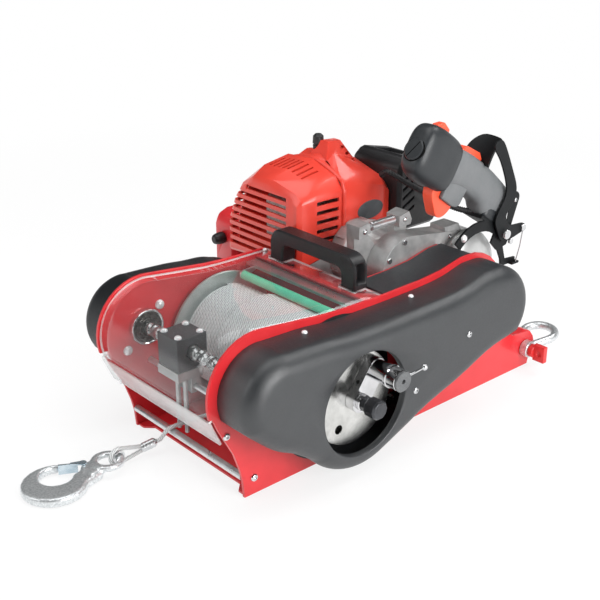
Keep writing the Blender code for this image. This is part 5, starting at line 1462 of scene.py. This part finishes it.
# %% Trigger
BLADE = [(142, 442), (146, 432), (149.5, 424.5), (155.5, 418.5), (162, 413), (168, 408),
         (174, 405.4), (181, 406.6), (186.5, 411), (191, 418), (193.6, 427), (190, 434),
         (168, 442)]
BLADE_HALF = 8.4
blade = across_grip(flowing(BLADE, 64, closed=True), BLADE_HALF)
finger_trigger = add_piece("finger_trigger", blade, "trigger", trigger_plastic,
                           ["throttle_trigger"], sharp=50)
bevelled(finger_trigger, 2.0, 4, 40)
print("trigger:", 2 * BLADE_HALF, "mm wide in a well of", 2 * TRIGGER_HALF, "mm")

# %% [markdown]
# The brake lever is bent from sheet: a curved arm beside the grip, and a palm plate across it
# whose far corner is rounded. The plate is a grid of heights by widths, and Solidify gives it
# the sheet's thickness.

# %% Brake lever
LEVER_ARM = [(484, 192), (476, 206), (469, 224), (480, 243), (488, 257), (486, 276),
             (472, 306), (457, 328), (464, 337), (477, 331), (499, 290), (510, 264),
             (507, 246), (492, 226), (503, 211), (532, 207), (536, 199), (528, 194), (500, 189)]
ARM_X = (80.3, 83.0)
PLATE_X, PLATE_FOOT, PLATE_TALL, CORNER_R = (34.8, 81.6), (446.0, 303.0), 35.0, 19.0
PLATE_LEAN, PLATE_CURL, PLATE_CUP = 0.42, 0.008, 6.0


def palm_plate():
    """A sheet that leans and curls back with its height, and is cupped across its width.

    The lean grows with the height, the curl with its square, and the cup with the square of the
    distance from the middle. The near edge moves in by a circle's height at the rounded corner.
    """
    height = np.linspace(0, PLATE_TALL, 26)[:, None]
    above = np.clip(height - (PLATE_TALL - CORNER_R), 0, CORNER_R - 0.05)
    inset = CORNER_R - np.sqrt(CORNER_R ** 2 - above ** 2)
    share = np.linspace(0, 1, 25)[None, :]
    x = (PLATE_X[0] + inset) * (1 - share) + PLATE_X[1] * share
    middle, half_wide = sum(PLATE_X) / 2, (PLATE_X[1] - PLATE_X[0]) / 2
    cup = PLATE_CUP * ((x - middle) / half_wide) ** 2
    y = PLATE_FOOT[0] + PLATE_LEAN * height + PLATE_CURL * height ** 2 - cup + PLATE_CUP
    return surface(along_axis("x", y, PLATE_FOOT[1] + height + 0 * x, x))


lever_arm = pushed(flowing(LEVER_ARM, 120, closed=True), "x", *ARM_X)
bevelled(add_piece("lever_arm", lever_arm, "lever", black_steel, ["brake_lever"]), 0.5, 2)
plate = add_piece("palm_plate", palm_plate(), "lever", black_steel, sharp=60)
sheet_wall = plate.modifiers.new("wall", "SOLIDIFY")
sheet_wall.thickness, sheet_wall.offset = 2.6 * MM, 0.0
bevelled(plate, 0.6, 2, 60)
print("palm plate:", round(PLATE_X[1] - PLATE_X[0], 1), "by", PLATE_TALL, "mm")

# %% [markdown]
# The black strap behind the lever ties the grip's foot to the lever's post. It is thin, because
# the lever's arm swings past it with little room.

# %% Grip strap
STRAP_X = (77.0, 78.4)
STRAP_LINE = np.concatenate([arc((515, 246), 9.5, -15, 165, 12),
                             [(499, 214), (486, 200), (490, 188), (504, 190)]])
grip_strap = add_piece("grip_strap", pushed(STRAP_LINE, "x", *STRAP_X), "frame", black_steel)
bevelled(grip_strap, 0.6, 2)
print("room between strap and lever:", round(ARM_X[0] - STRAP_X[1], 1), "mm")

# %% [markdown]
# ## Castings
#
# A casting has wide radii, a rim where its halves meet, and ribs. The domed cover and the clutch
# bell are turned, with a raised rim each, and the case and the lugs are the solids with wide
# radii. A rib is a thin block that runs outwards on the bell.

# %% Castings
CRANK, DOME = (328.0, 180.0), (444.0, 158.0)
BELL = [(-49.7, 0), (-49.7, 44), (-47.5, 46), (-30, 47.6), (-27, 49.4), (-21, 49.4),
        (-18.5, 47.8), (-14, 47.4), (-9, 43), (-4, 41), (8, 39.8), (14, 39.4), (18, 37), (18, 0)]
BELL_RIBS, RIB_X, RIB_R = range(20, 380, 30), (-46, -16), (30, 48.6)
DOME_PROFILE = [(50.0, 0), (50.0, 51.5), (54.4, 51.5), (56.4, 50.6), (57.4, 49.2), (61, 48.4),
                (65, 45.6), (68.4, 41), (70.8, 35), (72.2, 27), (72.9, 18), (73, 8), (73, 0)]
softened("gearbox", "frame", cast_aluminium, 2.2, 3)
softened("clutch_housing", "frame", cast_aluminium, 1.2, 2)


def rib(centre, angle, inner, outer, low, high, half=1.6):
    """A straight rib: the corners lie ahead from the centre, half a rib's width to each side."""
    ahead = np.array([math.cos(angle), math.sin(angle)])
    aside = np.array([-ahead[1], ahead[0]]) * half
    corners = [ahead * inner - aside, ahead * outer - aside, ahead * outer + aside,
               ahead * inner + aside]
    return pushed(np.array(corners) + np.array(centre), "x", low, high)


bell_ribs = [rib(CRANK, math.radians(a), *RIB_R, *RIB_X) for a in BELL_RIBS]
# the bell and the dome take the lighter copy of the cast finish, which is partly painted light
add_piece("clutch_bell", turned(BELL, CRANK, sides=120), "frame", casting_painted_light, sharp=50)
bevelled(add_piece("bell_ribs", joined(bell_ribs), "frame", cast_aluminium), 0.8, 2)
add_piece("gear_dome", turned(DOME_PROFILE, DOME, sides=120), "frame", casting_painted_light,
          ["gearbox_cover"], sharp=60)
print("ribs on the bell:", len(bell_ribs))

# %% [markdown]
# The gear case is closed by bolts on two bolt circles, and a small zinc stay with stepped ends
# links the lugs above it.

# %% Gear bolts and stay
CASE_CIRCLE, CASE_BOLTS = (330, 180, 40), (100, 150, 215, 265)       # centre, radius; degrees
DOME_CIRCLE, DOME_BOLTS = (*DOME, 48), (75, 125, 180, 235, 290)


def bolt_circle(x, circle, degrees, head_r):
    """Hexagon heads at a circle's centre plus its radius times the cosine and sine."""
    y, z, reach = circle
    return [((x, y + reach * math.cos(a), z + reach * math.sin(a)), "x", 1, head_r, "hexagon")
            for a in np.radians(degrees)]


GEAR_BOLTS = bolt_circle(49.7, CASE_CIRCLE, CASE_BOLTS, 4.2)
GEAR_BOLTS += bolt_circle(53.5, DOME_CIRCLE, DOME_BOLTS, 3.4)
GEAR_BOLTS += [((28.0, 272, 240), "x", 1, 3.8, "dome"), ((28.0, 346, 240), "x", 1, 3.8, "dome"),
               ((49.0, 414, 206), "x", 1, 3.6, "dome")]
gear_bolts = joined([screw_head(*entry) for entry in GEAR_BOLTS])
add_piece("gear_bolts", gear_bolts, "frame", screw_steel)
STAY = [(283.6, 0), (283.6, 3.0), (290, 3.0), (290, 5.6), (290.8, 6.2), (331.2, 6.2),
        (332, 5.6), (332, 3.0), (335.7, 3.0), (335.7, 0)]
STAY_AT = (20, 241)
add_piece("zinc_stay", turned(STAY, STAY_AT, "y", 40), "frame", zinc, ["stay_cylinder"])
print("gear bolts:", len(GEAR_BOLTS))

# %% [markdown]
# ## Engine details
#
# A raised rim runs over the joint between the guard and the cowl, and a bare oval plate sits on
# the cowl's side, where such engines have one. The rim is a round bar half sunk in the cowl.

# %% Joint rim and oval plate
SHROUD_NEAR, SHROUD_FAR, JOINT_Y = -50.0, -166.0, 308.45
RIM_R, RIM_PROUD = 3.0, 0.6


def rim_route():
    """The joint's line over the engine, just proud of the cowl."""
    near, far = SHROUD_NEAR + RIM_PROUD, SHROUD_FAR - RIM_PROUD
    corners = [(near, 190), (near, 262), (SHROUD_NEAR - 1, 272), (SHROUD_NEAR - 10, 285.6),
               (SHROUD_NEAR - 60, 301.4), (SHROUD_FAR + 16, 295.6), (SHROUD_FAR + 2, 284),
               (far, 270), (far, 190)]
    line = flowing(corners, 90)
    return np.stack([line[:, 0], np.full(len(line), JOINT_Y), line[:, 1]], axis=1)


joint_rim = swept(rim_route(), RIM_R, 14, normal=(0.0, 1.0, 0.0))
add_piece("joint_rim", joint_rim, "frame", orange_plastic)

OVAL_MID, OVAL_LONG, OVAL_SHORT = np.array([360.0, 232.0]), 24.5, 13.2
oval_turn = np.linspace(0, 2 * math.pi, 64, endpoint=False)
oval = np.stack([OVAL_LONG * np.cos(oval_turn), OVAL_SHORT * np.sin(oval_turn)], axis=1)
plate_rows = [(OVAL_MID + oval * share, SHROUD_NEAR + rise) for share, rise in
              ((0.0, -0.5), (1.0, -0.5), (1.0, 0.5), (0.965, 0.9), (0.0, 0.9))]
add_piece("bare_oval", surface(stacked(plate_rows), wrap_columns=True), "frame", badge_grey)
print("oval plate:", 2 * OVAL_LONG, "by", 2 * OVAL_SHORT, "mm")

# %% [markdown]
# The plug's boot is ribbed rubber: six ribs of the same profile, one above the other. The
# starter's handle is turned too: a rounded knob on a short neck.

# %% Plug boot and pull handle
BOOT_AT, BOOT_FOOT, BOOT_RIBS, RIB_PITCH = (-126, 331), 290, 6, 4.2
boot = [(288, 0), (288, 6.4)]
for low in (BOOT_FOOT + RIB_PITCH * step for step in range(BOOT_RIBS)):
    boot += [(low, 7.6), (low + 2.4, 7.6), (low + 2.8, 6.2), (low + 4.0, 6.2)]
boot += [(316, 8.0), (326, 7.4), (329, 4.5), (329, 0)]
add_piece("ribbed_boot", turned(boot, BOOT_AT, "z", 40), "frame", black_plastic, ["plug_boot"])

PULL_AT = (-243, 165)
PULL = [(232, 0), (232, 4.6), (233.4, 6.6), (237, 8.0), (241, 8.7), (246, 9.0), (248.6, 8.7),
        (249.4, 7.6), (249.4, 3.6), (258, 3.6), (258, 0)]
add_piece("pull_handle", turned(PULL, PULL_AT, "y", 40), "starter_handle", black_plastic,
          ["starter_handle"])
print("ribs on the boot:", BOOT_RIBS)

# %% [markdown]
# The throttle's conduit is corrugated tube. It is a round section along a flowing line, whose
# radius steps down at every other pair of rings.

# %% Throttle conduit
CONDUIT = [(-46, 375, 279), (-36, 376, 285), (-26, 382, 280.6), (-10, 396, 268.5),
           (4, 409, 259), (17, 421.5, 249.5), (31, 433, 241), (45, 443, 236.2),
           (57, 452, 235.4), (60, 458, 237)]
CONDUIT_R, CONDUIT_STEP, CONDUIT_RINGS = 4.2, 0.5, 200
conduit_line = flowing(CONDUIT, CONDUIT_RINGS)
conduit_reach = CONDUIT_R - CONDUIT_STEP * (np.arange(CONDUIT_RINGS) % 4 > 1)
conduit = swept(conduit_line, conduit_reach, 20)
add_piece("ribbed_conduit", conduit, "frame", black_plastic, ["throttle_conduit"], sharp=60)
conduit_long = np.linalg.norm(np.diff(conduit_line, axis=0), axis=1).sum()
print("conduit:", round(float(conduit_long)), "mm")

# %% [markdown]
# The sides that the photograph hides get what such engines have there: a vented starter with
# its screws, a ribbed fuel cap, a clamp knob on the air filter, and bolts on the case panel.

# %% Starter's vents and screws
STARTER_FACE, STARTER_MID = -268.0, (325.0, 160.0)
VENTS, VENT_R, VENT_HALF = range(0, 360, 20), (16, 33), 2.6
STARTER_SCREWS = ((264, 134), (386, 134), (264, 186), (386, 186))


def vent(angle, inner, outer, half):
    """A radial slot through the starter's face, half as wide at its inner end."""
    ahead = np.array([math.cos(angle), math.sin(angle)])
    aside = np.array([-ahead[1], ahead[0]])
    corners = [ahead * inner - aside * half / 2, ahead * outer - aside * half,
               ahead * outer + aside * half, ahead * inner + aside * half / 2]
    outline = np.array(corners) + np.array(STARTER_MID)
    return pushed(outline, "x", STARTER_FACE - 2, STARTER_FACE + 4)


vents = joined([vent(math.radians(a), *VENT_R, VENT_HALF) for a in VENTS])
carved(bpy.data.objects["starter_housing_soft"], [vents])
SUNK_X = STARTER_FACE + 2.6                 # where the heads sit, a little behind the face
starter_screws = joined([screw_head((SUNK_X, y, z), "x", -1, 4.0, "button")
                         for y, z in STARTER_SCREWS])
add_piece("starter_screws", starter_screws, "frame", screw_steel)
print("vents:", len(VENTS), "starter screws:", len(STARTER_SCREWS))

# %% [markdown]
# The fuel cap is gripped by its ribs, so its ring's radius steps in and out as it goes round.
# The clamp knob is turned in only eight steps, which gives it flats.

# %% Fuel cap, clamp and hidden bolts
CAP_POINTS, FUEL_CAP_R, FUEL_RIB = 96, 15.0, 0.8
fuel_mid = np.array([300.0, 92.0])
cap_turn = np.linspace(0, 2 * math.pi, CAP_POINTS, endpoint=False)
cap_reach = FUEL_CAP_R - FUEL_RIB * (np.arange(CAP_POINTS) % 4 > 1)
cap_ring = np.stack([cap_reach * np.cos(cap_turn), cap_reach * np.sin(cap_turn)], axis=1)
cap_rows = [(fuel_mid + cap_ring * share, x) for share, x in
            ((0.0, -211.0), (1.0, -211.0), (1.0, -222.5), (0.88, -224.0), (0.5, -224.0),
             (0.45, -223.0), (0.0, -223.0))]
fuel_cap = surface(stacked(cap_rows), wrap_columns=True)
add_piece("fuel_cap", fuel_cap, "frame", black_plastic, sharp=25)

CLAMP = [(489.6, 0), (489.6, 9.0), (492, 9.0), (492.6, 12.0), (500, 12.0), (502, 10.4), (502, 0)]
add_piece("filter_clamp", turned(CLAMP, (-84, 246), "y", 8), "frame", black_plastic, sharp=25)
CASE_SCREWS = [((x, 391.0, z), "y", 1, 4.2, "hexagon") for x in (64, 99) for z in (60, 130)]
CASE_SCREWS += [((-60.0, y, 150.0), "x", 1, 4.4, "hexagon") for y in (318, 380)]
hidden_bolts = joined([screw_head(*entry) for entry in CASE_SCREWS])
add_piece("hidden_bolts", hidden_bolts, "frame", screw_steel)
print("hidden bolts:", len(CASE_SCREWS))

# %% [markdown]
# ## Anchor shackle
#
# The bow is a round bar bent in a bow's outline, with an eye on each end, hot dipped in zinc.
# Half of its line is drawn, and the other half is its mirror image.

# %% Shackle bow
SHACKLE_PIN, SHACKLE_MID, BAR_R, LEAN = (517.0, 29.0), 105.0, 6.0, math.radians(7.0)
BOW_TOP, EYE_IN, EYE_OUT, EYE_BORE = 68.7, 9.0, 21.0, 6.4


def bow_line():
    """A flowing line through half the bow, its top and the mirrored half, leaned by an angle."""
    half = [(-15.0, 4.0), (-15.0, 14.0), (-19.0, 28.0), (-23.0, 42.0), (-21.5, 54.5),
            (-13.0, 65.0)]
    flat = np.array(half + [(0.0, BOW_TOP)] + [(-x, y) for x, y in half[::-1]])
    line = flowing(flat, 72)
    return np.stack([SHACKLE_MID + line[:, 0], SHACKLE_PIN[0] + line[:, 1] * math.cos(LEAN),
                     SHACKLE_PIN[1] + line[:, 1] * math.sin(LEAN)], axis=1)


eyes = []
for side in (-1, 1):
    near, far = SHACKLE_MID + side * EYE_IN, SHACKLE_MID + side * EYE_OUT
    eye = [(near, EYE_BORE), (near, 11.0), (near + side, 12.0), (far - side, 12.0), (far, 11.0),
           (far, EYE_BORE)]
    eyes.append(turned(eye, SHACKLE_PIN, sides=48))
bow = joined([swept(bow_line(), BAR_R, 28), *eyes])
add_piece("shackle_bar", bow, "shackle", hot_zinc, ["shackle_bow"])
print("shackle:", 2 * BAR_R, "mm bar, eyes", EYE_OUT - EYE_IN, "mm wide")

# %% [markdown]
# The pin is painted red. It has a collar and a flat head to turn it by, with a dimple that is
# carved out.

# %% Shackle pin
PIN_PROFILE = [(81.5, 0), (81.5, 5.2), (82.4, 5.9), (126.3, 5.9), (126.3, 8.8), (127.0, 9.5),
               (133.4, 9.5), (134.3, 8.6), (134.3, 0)]
HEAD_THICK, HEAD_TALL, HEAD_X, DIMPLE_X = 4.0, 12.0, (132.3, 151.3), 142.5
add_piece("shackle_screw_pin", turned(PIN_PROFILE, SHACKLE_PIN, sides=40), "shackle_pin",
          shackle_paint, ["shackle_pin"])
y, z = SHACKLE_PIN
square_head = pushed([(y - HEAD_THICK, z - HEAD_TALL), (y + HEAD_THICK, z - HEAD_TALL),
                      (y + HEAD_THICK, z + HEAD_TALL), (y - HEAD_THICK, z + HEAD_TALL)],
                     "x", *HEAD_X)
flat_head = add_piece("pin_head", square_head, "shackle_pin", shackle_paint)
DIMPLE = [(y - 6, 0), (y - 6, 4.2), (y - 2.8, 4.2), (y - 2.2, 3.4), (y - 2.2, 0)]
carved(flat_head, [turned(DIMPLE, (DIMPLE_X, z), "y", 32)])
bevelled(flat_head, 1.6, 3, 40)
print("pin head:", 2 * HEAD_THICK, "by", 2 * HEAD_TALL, "mm")

# %% [markdown]
# ## Rope end
#
# A pressed ferrule closes the rope's loop round a thimble, and the thimble carries the hook.
# The ferrule swells between its ends and keeps faint marks of the press.

# %% Ferrule, loop and thimble
LOOP_MID, LOOP_LONG, LOOP_TALL, LOOP_APART = np.array([-43.0, -71.5, 13.2]), 10.4, 10.1, 3.1
SLEEVE_R, SLEEVE_SWELL, SLEEVE_TAPER, SLEEVE_MARK, SLEEVE_RINGS = 4.2, 2.0, 2.2, 0.25, 15


def ferrule():
    """A sleeve: its radius grows with the distance from the nearer end, up to a taper's length."""
    marks = np.linspace(END_GAP, FERRULE_LONG, SLEEVE_RINGS)
    line = FERRULE[0] + marks[:, None] * FERRULE_ALONG
    from_end = np.minimum(marks - END_GAP, FERRULE_LONG - marks)
    swell = SLEEVE_SWELL * np.clip(from_end / SLEEVE_TAPER, 0, 1)
    pressed = SLEEVE_MARK * (np.arange(SLEEVE_RINGS) % 3 == 1)
    return swept(line, SLEEVE_R + swell - pressed, 28, normal=(1.0, 0.0, 0.0), squash=0.92)


def loop_line():
    """Out of the ferrule above its axis, round the thimble by cosine and sine, and back below."""
    apart = np.array([0.0, 0.0, LOOP_APART])
    inside = FERRULE[1] - FERRULE_ALONG * 4
    bend = np.radians(np.linspace(105, -105, 14))
    round_it = LOOP_MID + np.stack([0 * bend, -LOOP_LONG * np.cos(bend),
                                    LOOP_TALL * np.sin(bend)], axis=1)
    route = np.concatenate([[inside + apart, FERRULE[1] + apart], round_it,
                            [FERRULE[1] - apart, inside - apart]])
    return flowing(route, 60)


sleeve = add_piece("pressed_ferrule", ferrule(), "frame", zinc, ["rope_eye"], sharp=50)
rope_loop = add_rope("rope_loop", loop_line(), (1.0, 0.0, 0.0), "frame")
GROOVE = ((-3.2, 5.9), (-3.2, 8.2), (-2.4, 7.6), (-1.2, 6.9), (1.2, 6.9), (2.4, 7.6),
          (3.2, 8.2), (3.2, 5.9))
thimble = turned([(LOOP_MID[0] + x, reach) for x, reach in GROOVE], LOOP_MID[1:], sides=56)
eyelet = add_piece("round_thimble", thimble, "frame", zinc, ["thimble"])
print("ferrule:", round(FERRULE_LONG, 1), "mm long")

# %% [markdown]
# The hook is a forging, which has no sharp edge at all. Remesh turns its solid into an even
# skin, and Smooth wears the edges down. Its latch is pressed sheet, so it gets a small bevel.

# %% Hook and latch
SKIN_STEP, WEAR = 1.1, 34                   # mm between the skin's points, and rounds of smoothing
bevelled(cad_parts["hook_latch"], 0.3, 2, 30)
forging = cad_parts["hook"]
skin = forging.modifiers.new("skin", "REMESH")
skin.mode, skin.voxel_size, skin.use_smooth_shade = "VOXEL", SKIN_STEP * MM, True
rounding = forging.modifiers.new("rounding", "SMOOTH")
rounding.factor, rounding.iterations = 0.5, WEAR
print("hook's modifiers:", [step.name for step in forging.modifiers])

# %% [markdown]
# The free rope lies taut, and its far end carries the ferrule, the loop, the thimble, the hook
# and its latch.

# %% [markdown]
# ## Mesh count
#
# The last line prints how many meshes the scene holds.


print("meshes:", len(bpy.data.meshes))
